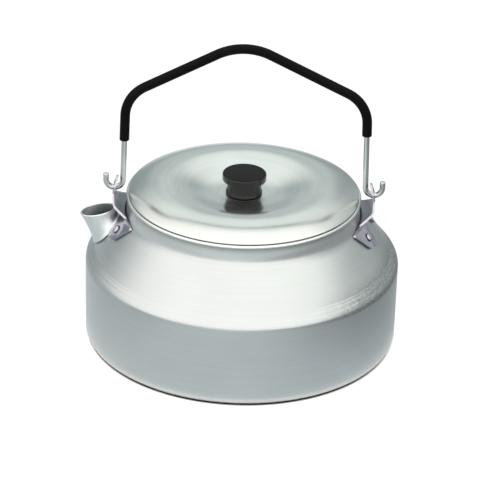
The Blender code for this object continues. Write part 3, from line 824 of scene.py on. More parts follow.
@dataclass
class Spout:
    """The short drawn spout, flanged on the shoulder and cut off on the skew.

    The points of collar_fillet and collar_foot are (outward, up) from the tube's foot and from the
    collar's underside, and hole_levels are heights square to the shoulder.
    """

    shell: Shell
    out: float = 75.4 * MM
    sheet: float = 0.9 * MM
    mouth_reach: float = 5.5 * MM
    mouth_rise: float = 11.1 * MM
    mouth_tilt: float = math.radians(12.3)
    mouth_length: float = 10.1 * MM
    mouth_width: float = 8.0 * MM
    base_length: float = 10.6 * MM
    base_width: float = 9.5 * MM
    collar: float = 1.2 * MM
    collar_fillet: tuple[tuple[float, float], ...] = (
        (0.12 * MM, 1.45 * MM), (0.45 * MM, 1.22 * MM))
    collar_foot: tuple[tuple[float, float], ...] = ((1.12 * MM, 0.1 * MM), (1.0 * MM, 0.0))
    collar_steps: int = 6
    flange: float = 1.1 * MM
    waist: float = 0.05
    spigot_inset: float = 0.7 * MM
    seat: float = 0.3 * MM
    hole_levels: tuple[float, ...] = (-5 * MM, -1 * MM, 3 * MM)
    rows: int = 14
    lip_steps: int = 8
    settle_rounds: int = 6
    steps: int = 96

    def base_ring(self, length: float, width: float, above: float) -> Ring:
        """Form an oval ring that follows the shoulder at a distance square to it.

        Args:
            length: Half its length, down the shoulder.
            width: Half its width.
            above: Its distance from the shoulder.

        Returns:
            The ring.
        """
        slope = self.shell.slope
        normal = self.shell.normal
        middle = Vector((-self.out, 0, self.shell.height_at(self.out)))
        down = Vector((-math.cos(slope), 0, -math.sin(slope)))
        outward = Vector((-normal.x, 0, normal.y))
        ring: Ring = []
        for angle in full_turn(self.steps):
            point = middle + down * length * math.cos(angle)
            point.y = width * math.sin(angle)
            for _ in range(self.settle_rounds):
                flat = Vector((math.hypot(point.x, point.y), point.z))
                level = (flat - self.shell.above(self.out, 0)).dot(normal)
                point += outward * (above - level)
            ring.append(point)
        return ring

    def mouth_ring(self, grow: float, above: float) -> Ring:
        """Form an oval ring in the tilted plane of the mouth.

        Args:
            grow: How far the ring stands outside the mouth's middle line.
            above: Its distance from that plane.

        Returns:
            The ring.
        """
        height = self.shell.height_at(self.out) + self.mouth_rise
        middle = Vector((-self.out - self.mouth_reach, 0, height))
        down = Vector((-math.cos(self.mouth_tilt), 0, -math.sin(self.mouth_tilt)))
        outward = Vector((-math.sin(self.mouth_tilt), 0, math.cos(self.mouth_tilt)))
        ring: Ring = []
        for angle in full_turn(self.steps):
            side = Vector((0, (self.mouth_width + grow) * math.sin(angle), 0))
            reach = down * (self.mouth_length + grow) * math.cos(angle)
            ring.append(middle + reach + side + outward * above)
        return ring

    def between(self, low: Ring, high: Ring, share: float) -> Ring:
        """Form the ring at a share of the way up, drawn in at the waist.

        Args:
            low: The ring at the foot.
            high: The ring at the mouth.
            share: How far up it lies, from 0 to 1.

        Returns:
            The ring.
        """
        ring = [a.lerp(b, share) for a, b in zip(low, high)]
        middle = middle_of(ring)
        draw = 1 - self.waist * math.sin(math.pi * share)
        return [middle + (point - middle) * draw for point in ring]

    def hole(self) -> bpy.types.Object:
        """Form the cutter for the hole in the shell's wall.

        Returns:
            The cutter.
        """
        inset = self.spigot_inset
        size = (self.base_length - inset + self.seat, self.base_width - inset + self.seat)
        rings = [self.base_ring(*size, level) for level in self.hole_levels]
        return capped_rings("spout_hole", rings)

    def build(self) -> bpy.types.Object:
        """Form the spout: down the outside, through the wall and up the bore.

        Returns:
            The spout.
        """
        wall = self.sheet
        inside = -self.shell.sheet - self.seat
        spigot = -self.spigot_inset
        flange = spigot + self.flange
        shares = [number / self.rows for number in range(1, self.rows)]

        def ring(grow: float, above: float) -> Ring:
            """Return a base ring that is grown and lifted."""
            return self.base_ring(self.base_length + grow, self.base_width + grow, above)

        outer_low = ring(0, self.collar + wall / 2)
        outer_high = self.mouth_ring(0, -wall / 2)
        bore_low = ring(spigot - wall, 0)
        bore_high = self.mouth_ring(-wall, -wall / 2)
        rings = [self.between(outer_low, outer_high, share) for share in reversed(shares)]
        rings += [outer_low, *(ring(grow, lift) for grow, lift in self.collar_fillet)]
        for number in range(self.collar_steps + 1):
            angle = math.pi / 2 * number / self.collar_steps
            rings.append(ring(
                self.collar / 2 * (1 + math.sin(angle)), self.collar / 2 * (1 + math.cos(angle))))
        rings += [ring(grow, self.seat + lift) for grow, lift in self.collar_foot]
        rings += [ring(spigot, self.seat), ring(spigot, inside), ring(flange, inside)]
        rings += [ring(flange, inside - wall), ring(spigot - wall, inside - wall), bore_low]
        bore_start = len(rings) - 1
        rings += [self.between(bore_low, bore_high, share) for share in shares]
        bore_end = len(rings) - 1
        for number in range(self.lip_steps + 1):
            angle = math.pi * number / self.lip_steps
            rings.append(self.mouth_ring(
                -wall / 2 * (1 + math.cos(angle)), -wall / 2 * (1 - math.sin(angle))))
        tube = joined_rings("spout_tube", rings, True)
        # The bore's faces take the second finish, with its painted shade
        for polygon in tube.data.polygons[bore_start * self.steps:bore_end * self.steps]:
            polygon.material_index = 1
        return tube

    def dressed(self) -> list[bpy.types.Object]:
        """Return the spout with its finish and that of its bore."""
        return [dress(self.build(), "spout", Body.KETTLE, "spout", DRAWN_SPOUT, PAINTED_SHADE_BORE)]


@dataclass
class Bail:
    """The folding bail: one bent wire with open hooks, and the tube pulled over its arms.

    The shares of wire_end and grip_end are those of the full radius at a cut end and just behind
    it, and end_share says how far behind the second one lies.
    """

    shell: Shell
    rim_gap: float = 0.45 * MM
    pivot_rise: float = 1.2 * MM
    wire: float = 1.55 * MM
    hook: float = 4.65 * MM
    limb: float = 8.3 * MM
    height: float = 89.1 * MM
    shoulder_height: float = 55.4 * MM
    leg_lean: float = 1.3 * MM
    shoulder_bend: float = 20.0 * MM
    peak_bend: float = 32.0 * MM
    peak_shift: float = -2.2 * MM
    grip: float = 2.7 * MM
    grip_bore: float = 1.95 * MM
    grip_left: float = 29.0 * MM
    grip_right: float = 36.0 * MM
    wire_cut: float = 0.3 * MM
    grip_lip: float = 0.35 * MM
    wire_end: tuple[float, float] = (0.80, 0.94)
    grip_end: tuple[float, float] = (0.90, 0.975)
    end_share: float = 0.35
    wire_arc: float = math.radians(5)
    grip_arc: float = math.radians(4)
    longest: float = 3 * MM
    wire_steps: int = 24
    grip_steps: int = 28

    @property
    def leg_out(self) -> float:
        """Distance of a leg's foot from the kettle's axis."""
        return self.shell.rim_outer + self.rim_gap + self.wire

    @property
    def pivot(self) -> float:
        """Height of the bail's pivot."""
        return self.shell.rim_height + self.pivot_rise

    def arms(self, left: Corner, right: Corner) -> list[Corner]:
        """Return the corners between two leg corners, over both shoulders and the peak.

        Args:
            left: The corner that the left leg starts from.
            right: The corner that the right leg ends in.

        Returns:
            The corners from left to right, with heights above the pivot.
        """
        shoulder = self.leg_out - self.leg_lean
        return [
            left,
            (-shoulder, self.shoulder_height, self.shoulder_bend),
            (self.peak_shift, self.height, self.peak_bend),
            (shoulder, self.shoulder_height, self.shoulder_bend),
            right,
        ]

    def leg_at(self, height: float) -> float:
        """Return a leg's distance from the axis at a height above the pivot."""
        return self.leg_out - self.leg_lean * height / self.shoulder_height

    def softened(self, path: Ring, length: float) -> Ring:
        """Add two points near each end of a path, for its softened rims.

        Args:
            path: The path.
            length: Distance of the farther point from the end.

        Returns:
            The path with the new points in place of its second and its last but one.
        """
        first = (path[1] - path[0]).normalized() * length
        last = (path[-2] - path[-1]).normalized() * length
        head = [path[0], path[0] + first * self.end_share, path[0] + first]
        tail = [path[-1] + last, path[-1] + last * self.end_share, path[-1]]
        return head + path[1:-1] + tail

    def swept(
        self, name: str, path: Ring, radius: float, end: tuple[float, float], steps: int,
        bore: float = 0.0,
    ) -> bpy.types.Object:
        """Sweep a round section along a path in the bail's plane.

        Args:
            name: Name of the piece.
            path: Points (x, height above the pivot).
            radius: Radius of the section.
            end: Shares of the radius at each end and one point behind it.
            steps: Number of facets round the section.
            bore: Radius of a hole all along it, or zero.

        Returns:
            The swept piece.
        """
        shares = [*end, *[1.0] * (len(path) - 4), *reversed(end)]
        across = Vector((0, 1, 0))
        outer: list[Ring] = []
        inner: list[Ring] = []
        for point, run, share in zip(path, runs(path), shares):
            centre = Vector((point.x, 0, point.y + self.pivot))
            side = Vector((-run.y, 0, run.x))
            spokes = [side * math.cos(a) + across * math.sin(a) for a in full_turn(steps)]
            outer.append([centre + radius * share * spoke for spoke in spokes])
            inner.append([centre + bore * spoke for spoke in spokes])
        if bore:
            return joined_rings(name, outer + inner[::-1], True)
        return joined_rings(name, [inner[0][:1], *outer, inner[-1][:1]], False)

    def build_wire(self) -> bpy.types.Object:
        """Bend the wire with its two hooks.

        Returns:
            The wire.
        """
        limb = self.leg_out + 2 * self.hook
        arms = self.arms((-self.leg_out, 0.0, self.hook), (self.leg_out, 0.0, self.hook))
        corners = [(-limb, self.limb, 0.0), (-limb, 0.0, self.hook), *arms]
        corners += [(limb, 0.0, self.hook), (limb, self.limb, 0.0)]
        path = divided(rounded(corners, self.wire_arc), self.longest)
        path = self.softened(path, self.wire_cut)
        return self.swept("bail_wire_bent", path, self.wire, self.wire_end, self.wire_steps)

    def build_grip(self) -> bpy.types.Object:
        """Form the tube with its rounded lips.

        Returns:
            The grip.
        """
        low, high = self.grip_left, self.grip_right
        corners = self.arms((-self.leg_at(low), low, 0.0), (self.leg_at(high), high, 0.0))
        path = divided(rounded(corners, self.grip_arc), self.longest)
        path = self.softened(path, self.grip_lip)
        return self.swept(
            "bail_grip_tube", path, self.grip, self.grip_end, self.grip_steps, self.grip_bore)

    def dressed(self) -> list[bpy.types.Object]:
        """Form and dress the wire and the grip.

        Returns:
            Both pieces.
        """
        return [
            dress(self.build_wire(), "bail_wire", Body.BAIL, "wire", DRAWN_WIRE),
            dress(self.build_grip(), "bail_grip", Body.BAIL, "grip", VINYL_TUBE)]


@dataclass
class Lugs:
    """The two pressed lugs, each an eye tab, a web that slopes in to the neck, and two feet."""

    shell: Shell
    spout: Spout
    bail: Bail
    sheet: float = 1.0 * MM
    seat: float = 0.3 * MM
    tab_out: float = 0.5 * MM
    tab_radius: float = 5.8 * MM
    tab_edge: float = 0.99
    tab_lean: float = 2.6 * MM
    tab_bend: float = 12.0 * MM
    eye_radius: float = 3.2 * MM
    eye_play: float = 0.5 * MM
    eye_cut: tuple[float, float] = (-4 * MM, 5 * MM)
    eye_steps: int = 48
    web_rise: float = 4.8 * MM
    web_bend: float = 2.6 * MM
    fold_out: float = 1.8 * MM
    fold_radius: float = 0.9 * MM
    tab_foot_width: float = 9.8 * MM
    fold_width: float = 15.8 * MM
    heel: float = 26.4 * MM
    toe: float = 21.8 * MM
    drop: float = 12.6 * MM
    toe_radius: float = 4.6 * MM
    toe_flare: float = 1.0 * MM
    toe_inner_radius: float = 3.4 * MM
    clearance: float = 0.4 * MM
    arch_start: float = math.radians(30)
    arch_steps: int = 16
    stamp_start: float = 0.8
    margin: float = math.radians(4)
    bend_arc: float = math.radians(8)
    outline_guard: float = 0.05 * MM
    longest: float = 0.8 * MM
    columns: int = 72
    flat_angle: float = math.radians(1)
    edge_softness: float = 0.16 * MM
    edge_segments: int = 3
    crisp: float = math.radians(40)

    @property
    def hook_out(self) -> float:
        """Distance of the hooks' lowest point from the kettle's axis."""
        return self.bail.leg_out + self.bail.hook

    @property
    def eye_height(self) -> float:
        """Height of the eye's middle, with the wire hanging in its lower half."""
        return self.bail.pivot - self.bail.wire - self.eye_play + self.eye_radius

    def section(self) -> list[Corner]:
        """Return the middle surface in section.

        Returns:
            The corners from the top of the tab down the foot.
        """
        shell = self.shell
        tab = self.hook_out + self.tab_out
        level = self.seat + self.sheet / 2
        bend = shell.neck_fillet - level
        bend_end = math.pi / 2 - shell.slope
        hollow = Vector((
            shell.neck_radius + shell.neck_fillet,
            shell.neck_base + shell.neck_fillet * math.tan(bend_end / 2)))
        bend_start = math.acos((hollow.x - shell.neck_radius - self.fold_out) / bend)
        foot_top = hollow + bend * Vector((-math.cos(bend_start), -math.sin(bend_start)))
        fold = foot_top + self.fold_radius * Vector((-math.sin(bend_start), math.cos(bend_start)))
        middle = (bend_start + bend_end) / 2
        reach = bend / math.cos((bend_end - bend_start) / 2)
        corner = hollow + reach * Vector((-math.cos(middle), -math.sin(middle)))
        end = shell.above(shell.radius - self.tab_radius, level)
        eye = self.eye_height
        return [
            (tab - self.tab_lean, eye + self.tab_radius + self.sheet, 0.0),
            (tab, eye - self.eye_radius / 2, self.tab_bend),
            (tab, fold.y + self.web_rise, self.web_bend),
            (fold.x, fold.y, self.fold_radius),
            (corner.x, corner.y, bend),
            (end.x, end.y, 0.0),
        ]

    def outline(self) -> Ring:
        """Return the closed outline that the blank is trimmed to.

        Returns:
            The points (y, height): down one side, round the arch and up the other side.
        """
        eye = self.eye_height
        top = eye + self.tab_radius
        fold = self.section()[3][1]
        heel = fold - self.sheet
        toe = heel - self.drop * math.sin(self.shell.slope)
        width = self.spout.base_width + self.spout.collar + self.clearance
        length = self.spout.base_length + self.spout.collar
        rise = length * math.sin(self.shell.slope) + self.clearance
        rise += self.spout.collar * math.cos(self.shell.slope)
        centre = self.shell.height_at(self.spout.out)
        arch = []
        for number in range(self.arch_steps + 1):
            sweep = math.pi - 2 * self.arch_start
            angle = self.arch_start + sweep * number / self.arch_steps
            arch.append(Vector((width * math.cos(angle), centre + rise * math.sin(angle))))
        outer = rounded([
            (0.0, top, 0.0),
            (self.tab_radius, top, self.tab_radius * self.tab_edge),
            (self.tab_radius, eye - self.tab_radius / 2, 0.0),
            (self.tab_foot_width, fold + self.web_rise, self.tab_radius),
            (self.fold_width, fold + self.sheet / 2, self.sheet),
            (self.heel, heel, self.sheet),
            (self.toe, toe, self.toe_radius),
            (width + self.toe_flare, toe - self.sheet, self.toe_inner_radius),
            (arch[0].x, arch[0].y, 0.0),
        ], guard=self.outline_guard)
        return outer + arch[1:-1] + [Vector((-y, z)) for y, z in reversed(outer[1:])]

    def blank(self, name: str) -> bpy.types.Object:
        """Bend the sheet before it is trimmed.

        Args:
            name: Name of the piece.

        Returns:
            The bent sheet, turned about the kettle's axis.
        """
        path = divided(rounded(self.section(), self.bend_arc), self.longest)
        count, last = self.columns, len(path) - 1
        half = self.sheet / 2
        spread = math.asin(self.heel / (self.shell.neck_radius + self.fold_out)) + self.margin
        angles = [-spread + 2 * spread * number / count for number in range(count + 1)]
        points: list[Vector] = []
        for side in (half, -half):
            for point, run in zip(path, runs(path)):
                radius, z = point + Vector((-run.y, run.x)) * side
                points += [Vector((radius * math.cos(a), radius * math.sin(a), z)) for a in angles]
        row = count + 1
        layer = row * len(path)
        faces = []
        for index in range(last):
            for number in range(count):
                a = index * row + number
                faces.append([a, a + 1, a + row + 1, a + row])
                faces.append([layer + v for v in (a, a + row, a + row + 1, a + 1)])
        border = [(i, i + 1) for i in range(count)]
        border += [(count + row * i, count + row * (i + 1)) for i in range(last)]
        border += [(row * last + i + 1, row * last + i) for i in reversed(range(count))]
        border += [(row * (i + 1), row * i) for i in reversed(range(last))]
        faces += [[b, a, layer + a, layer + b] for a, b in border]
        return mesh_object(name, points, faces)

    def stamp(self) -> bpy.types.Object:
        """Form the punch that trims the blank to its outline.

        Returns:
            The punch.
        """
        ring = self.outline()
        total = len(ring)
        ends = (self.shell.neck_radius * self.stamp_start, self.shell.radius)
        points = [Vector((x, y, z)) for x in ends for y, z in ring]
        faces = [[i, (i + 1) % total, total + (i + 1) % total, total + i] for i in range(total)]
        faces += [list(range(total)), list(range(2 * total - 1, total - 1, -1))]
        return mesh_object("lug_stamp", points, faces)

    def eye(self) -> bpy.types.Object:
        """Form the punch for the eye.

        Returns:
            The punch.
        """
        size, height = self.eye_radius, self.eye_height
        rings = [[
            Vector((self.hook_out + reach, size * math.cos(a), height + size * math.sin(a)))
            for a in full_turn(self.eye_steps)] for reach in self.eye_cut]
        return capped_rings("lug_eye", rings)

    def soften(self, mesh: bpy.types.Mesh) -> None:
        """Clean the trimmed sheet's flats and round its edges.

        Args:
            mesh: The trimmed sheet.
        """
        work = bmesh.new()
        work.from_mesh(mesh)
        bmesh.ops.dissolve_limit(
            work, angle_limit=self.flat_angle, verts=work.verts, edges=work.edges)
        edges = [e for e in work.edges if e.is_manifold and e.calc_face_angle() > CRISP]
        bmesh.ops.bevel(
            work, geom=edges, offset=self.edge_softness, segments=self.edge_segments,
            profile=0.5, affect="EDGES", clamp_overlap=True)
        work.to_mesh(mesh)
        work.free()

    def build(self, name: str, angle: float) -> bpy.types.Object:
        """Press one lug: a bent sheet, trimmed, pierced and softened along its edges.

        Args:
            name: Name of the piece.
            angle: Turn about the kettle's axis.

        Returns:
            The lug.
        """
        lug = self.blank(name)
        carve(lug, self.stamp(), Trim.OUTSIDE)
        carve(lug, self.eye(), Trim.INSIDE)
        self.soften(lug.data)
        lug.data.transform(Matrix.Rotation(angle, 4, "Z"))
        shade(lug.data, self.crisp)
        return lug

    def dressed(self) -> list[bpy.types.Object]:
        """Form and dress both lugs.

        Returns:
            Both pieces, the right one first.
        """
        sides = (("right", 0.0), ("left", math.pi))
        return [
            dress(self.build(f"lug_{side}_pressed", angle), f"lug_{side}", Body.KETTLE, "lug",
                  PLATED_STEEL) for side, angle in sides]


@dataclass
class Rivets:
    """Four small domed rivets, two through the feet of each lug.

    The points of tail_shape are shares of the tail's radius and height.
    """

    shell: Shell
    lug_sheet: float
    out: float = 70.5 * MM
    offset: float = 15.3 * MM
    shank: float = 1.6 * MM
    head: float = 2.6 * MM
    head_height: float = 1.3 * MM
    head_sweep: float = math.radians(84)
    head_steps: int = 12
    head_foot: float = 0.985
    tail: float = 2.4 * MM
    tail_height: float = 1.0 * MM
    tail_shape: tuple[tuple[float, float], ...] = ((1.0, 0.0), (0.97, 0.6), (0.8, 1.0), (0.0, 1.0))
    seat: float = 0.3 * MM
    steps: int = 40

    def azimuths(self) -> dict[str, float]:
        """Return where the rivets stand.

        Returns:
            Each rivet's node name with its azimuth.
        """
        swing = math.asin(self.offset / self.out)
        return {
            "rivet_left_front": math.pi + swing,
            "rivet_left_rear": math.pi - swing,
            "rivet_right_front": -swing,
            "rivet_right_rear": swing,
        }

    def build(self, node: str, azimuth: float) -> bpy.types.Object:
        """Form one rivet with its domed head and its set tail.

        Args:
            node: The node that it stands for.
            azimuth: Where it stands round the kettle.

        Returns:
            The rivet.
        """
        low = 2 * self.seat + self.lug_sheet
        tail = -self.shell.sheet - self.seat
        profile = [Vector((0, low + self.head_height))]
        for number in range(1, self.head_steps + 1):
            angle = math.pi / 2 - self.head_sweep * number / self.head_steps
            profile.append(Vector((
                self.head * math.cos(angle), low + self.head_height * math.sin(angle))))
        profile += [Vector((self.head * self.head_foot, low)), Vector((self.shank, low))]
        profile.append(Vector((self.shank, tail)))
        profile += [
            Vector((self.tail * out, tail - self.tail_height * down))
            for out, down in self.tail_shape]
        rivet = turned(node + "_set", profile, self.steps, False)
        place = Matrix.Rotation(azimuth, 4, "Z")
        place @= Matrix.Translation((self.out, 0, self.shell.height_at(self.out)))
        place @= Matrix.Rotation(self.shell.slope, 4, "Y")
        rivet.data.transform(place)
        return rivet

    def dressed(self) -> list[bpy.types.Object]:
        """Form and dress the four rivets.

        Returns:
            The pieces.
        """
        return [
            dress(self.build(node, azimuth), node, Body.KETTLE, "rivet", PLATED_STEEL)
            for node, azimuth in self.azimuths().items()]


@dataclass
class Lid:
    """The spun lid with its domed flange and sunk middle, and the knob, screw and washer on it."""

    shell: Shell
    sheet: float = 0.8 * MM
    radius: float = 63.7 * MM
    edge_radius: float = 7.4 * MM
    edge_steps: int = 12
    flange_radius: float = 59.5 * MM
    dome_tilt: float = math.radians(27)
    dome_steps: int = 24
    dish_radius: float = 43.7 * MM
    dish_depth: float = 6.0 * MM
    dish_steps: int = 30
    seat_radius: float = 12.5 * MM
    seat_share: float = 0.9
    skirt_depth: float = 6.0 * MM
    skirt_gap: float = 0.6 * MM
    skirt_root: float = 1.4
    seat: float = 0.3 * MM
    lip: float = 0.3 * MM
    lip_side: float = 0.7
    lip_upper: float = 0.6
    lip_lower: float = 0.3
    lid_steps: int = 192
    screw: float = 2.0 * MM
    screw_tip: float = 0.7
    screw_taper: float = 0.3
    screw_short: float = 0.4 * MM
    clearance: float = 0.3 * MM
    knob_height: float = 12.0 * MM
    cap_radius: float = 12.2 * MM
    cap_height: float = 4.3 * MM
    cap_edge: float = 1.1 * MM
    cap_crown: float = 0.15 * MM
    neck_radius: float = 9.0 * MM
    neck_flare: float = 0.6 * MM
    flare_bend: float = 0.4 * MM
    foot_radius: float = 10.1 * MM
    foot_height: float = 0.9 * MM
    foot_edge: float = 0.35 * MM
    foot_base: float = 0.2 * MM
    undercut: float = 1.2 * MM
    knob_guard: float = 0.12 * MM
    knob_steps: int = 96
    engagement: float = 8.0 * MM
    head_radius: float = 3.8 * MM
    head_height: float = 2.2 * MM
    head_edge: float = 0.15 * MM
    slot_width: float = 1.0 * MM
    slot_depth: float = 1.1 * MM
    washer_radius: float = 5.5 * MM
    washer: float = 0.8 * MM
    washer_edge: float = 0.12 * MM
    screw_guard: float = 0.05 * MM
    small_steps: int = 48

    @property
    def flange_rise(self) -> float:
        """Work out how high the edge's arc would reach.

        Returns:
            Height of the arc's highest point above the kettle's rim.
        """
        inset = self.radius - self.flange_radius
        drop = self.edge_radius - math.sqrt(self.edge_radius ** 2 - inset ** 2)
        return self.seat + self.sheet + drop

    @property
    def dome_radius(self) -> float:
        """Radius at which the domed flange meets the arc of the edge."""
        return self.flange_radius + self.edge_radius * math.sin(self.dome_tilt)

    @property
    def dome_foot(self) -> float:
        """Height of that place above the kettle's rim."""
        return self.flange_rise - self.edge_radius * (1 - math.cos(self.dome_tilt))

    @property
    def crown(self) -> float:
        """Rise of the domed flange from its foot to the dish's edge."""
        return (self.dome_radius - self.dish_radius) * math.tan(self.dome_tilt) / 2

    @property
    def floor_rise(self) -> float:
        """Height of the sunk middle above the kettle's rim."""
        return self.dome_foot + self.crown - self.dish_depth

    def top(self) -> Ring:
        """Return the top surface.

        Returns:
            The points from the screw hole out to the edge.
        """
        points = [Vector((self.screw + self.clearance, self.floor_rise))]
        points.append(Vector((self.seat_radius * self.seat_share, self.floor_rise)))
        for number in range(self.dish_steps + 1):
            share = number / self.dish_steps
            radius = self.seat_radius + (self.dish_radius - self.seat_radius) * share
            rise = self.dish_depth * (1 - math.cos(math.pi * share)) / 2
            points.append(Vector((radius, self.floor_rise + rise)))
        for number in range(1, self.dome_steps):
            share = number / self.dome_steps
            radius = self.dish_radius + (self.dome_radius - self.dish_radius) * share
            points.append(Vector((radius, self.dome_foot + self.crown * (1 - share ** 2))))
        sweep = math.asin((self.radius - self.flange_radius) / self.edge_radius) - self.dome_tilt
        centre = Vector((self.flange_radius, self.flange_rise - self.edge_radius))
        start = math.pi / 2 - self.dome_tilt
        return points + arc(centre, self.edge_radius, start, -sweep, self.edge_steps)

    def build_lid(self) -> bpy.types.Object:
        """Form the lid with its rolled edge and skirt.

        Returns:
            The lid.
        """
        top = self.top()
        edge = top[-1]
        skirt = self.shell.rim_inner - self.skirt_gap
        inner = skirt - self.sheet
        foot = -self.skirt_depth
        lip = self.lip
        bottom = [point - Vector((0, self.sheet)) for point in top if point.x < inner]
        profile = top + [
            Vector((edge.x + lip * self.lip_side, edge.y - lip * self.lip_upper)),
            Vector((edge.x + lip, edge.y - self.sheet / 2)),
            Vector((edge.x + lip * self.lip_side, self.seat + lip * self.lip_lower)),
            Vector((edge.x, self.seat)),
            Vector((skirt, self.seat)),
            Vector((skirt, foot + lip)),
            Vector((skirt - lip, foot)),
            Vector((inner + lip, foot)),
            Vector((inner, foot + lip)),
            Vector((inner, self.flange_rise - self.skirt_root * self.sheet)),
        ] + bottom[::-1]
        return turned("lid_spun", profile, self.lid_steps, True, self.shell.rim_height)

    def build_knob(self) -> bpy.types.Object:
        """Mould the knob with its blind hole.

        Returns:
            The knob.
        """
        foot = self.floor_rise + self.seat
        top = foot + self.knob_height
        cap = top - self.cap_height
        hole = self.screw + self.clearance
        flare = self.neck_radius + self.neck_flare
        profile = rounded([
            (0.0, top, 0.0),
            (self.cap_radius, top - self.cap_crown, self.cap_edge),
            (self.cap_radius, cap, self.cap_edge / 2),
            (self.neck_radius, cap, self.undercut),
            (flare, foot + self.foot_height + self.neck_flare, self.flare_bend),
            (self.foot_radius, foot + self.foot_height, self.foot_edge),
            (self.foot_radius, foot, self.foot_base),
            (hole, foot, 0.0),
            (hole, foot + self.engagement, 0.0),
            (0.0, foot + self.engagement, 0.0),
        ], guard=self.knob_guard)
        return turned("knob_moulded", profile, self.knob_steps, False, self.shell.rim_height)

    def build_washer(self) -> bpy.types.Object:
        """Stamp the washer under the lid.

        Returns:
            The washer.
        """
        high = self.floor_rise - self.sheet - self.seat
        low = high - self.washer
        bore = self.screw + self.clearance
        soft = self.washer_edge
        profile = [
            Vector((bore, high)), Vector((self.washer_radius - soft, high)),
            Vector((self.washer_radius, high - soft)), Vector((self.washer_radius, low + soft)),
            Vector((self.washer_radius - soft, low)), Vector((bore, low))]
        return turned(
            "knob_washer_stamped", profile, self.small_steps, True, self.shell.rim_height)

    def build_screw(self) -> bpy.types.Object:
        """Turn the screw and cut its slot.

        Returns:
            The screw.
        """
        seat = self.floor_rise - self.sheet - 2 * self.seat - self.washer
        tip = self.floor_rise + self.engagement - self.screw_short
        low = seat - self.head_height
        profile = rounded([
            (0.0, tip, 0.0),
            (self.screw * self.screw_tip, tip, 0.0),
            (self.screw, tip - self.screw * self.screw_taper, 0.0),
            (self.screw, seat, 0.0),
            (self.head_radius, seat, self.head_edge),
            (self.head_radius, low, self.head_height / 2),
            (0.0, low, 0.0),
        ], guard=self.screw_guard)
        screw = turned(
            "knob_screw_turned", profile, self.small_steps, False, self.shell.rim_height)
        reach, half = 2 * self.head_radius, self.slot_width / 2
        base = self.shell.rim_height + low
        corners = [
            Vector((x, y, z)) for z in (base - self.slot_depth, base + self.slot_depth)
            for x, y in ((-reach, -half), (reach, -half), (reach, half), (-reach, half))]
        faces = [
            [0, 1, 2, 3], [4, 5, 6, 7], [0, 1, 5, 4], [1, 2, 6, 5], [2, 3, 7, 6], [3, 0, 4, 7]]
        carve(screw, mesh_object("screw_slot", corners, faces), Trim.INSIDE)
        return screw

    def dressed(self) -> list[bpy.types.Object]:
        """Form and dress the lid, the knob, the screw and the washer.

        Returns:
            The pieces in that order.
        """
        return [
            dress(self.build_lid(), "lid", Body.LID, "lid", SPUN_LID),
            dress(self.build_knob(), "knob", Body.LID, "knob", PHENOLIC),
            dress(self.build_screw(), "knob_screw", Body.LID, "fixing", PLATED_STEEL),
            dress(self.build_washer(), "knob_washer", Body.LID, "fixing", PLATED_STEEL)]


# ---- Studio ----


@dataclass(frozen=True)
class Pane:
    """A soft-edged bright or dim part of the room, by direction."""

    name: str
    aim: Corner
    edge: float
    core: float
    level: float
    tint: str


@dataclass(frozen=True)
class Softbox:
    """A broad soft lamp; its power is in watts."""

    name: str
    place: Corner
    aim: Corner
    size: tuple[float, float]
    power: float
    tint: str

    def hang(self) -> None:
        """Hang the lamp, which lights the object but isn't mirrored in it."""
        data = bpy.data.lights.new(self.name, "AREA")
        data.shape = "RECTANGLE"
        data.size, data.size_y = self.size
        data.energy = self.power
        data.color = linear(self.tint)[:3]
        lamp = bpy.data.objects.new(self.name, data)
        bpy.context.scene.collection.objects.link(lamp)
        lamp.location = self.place
        way = Vector(self.aim) - Vector(self.place)
        lamp.rotation_euler = way.to_track_quat("-Z", "Y").to_euler()
        lamp.visible_glossy = False


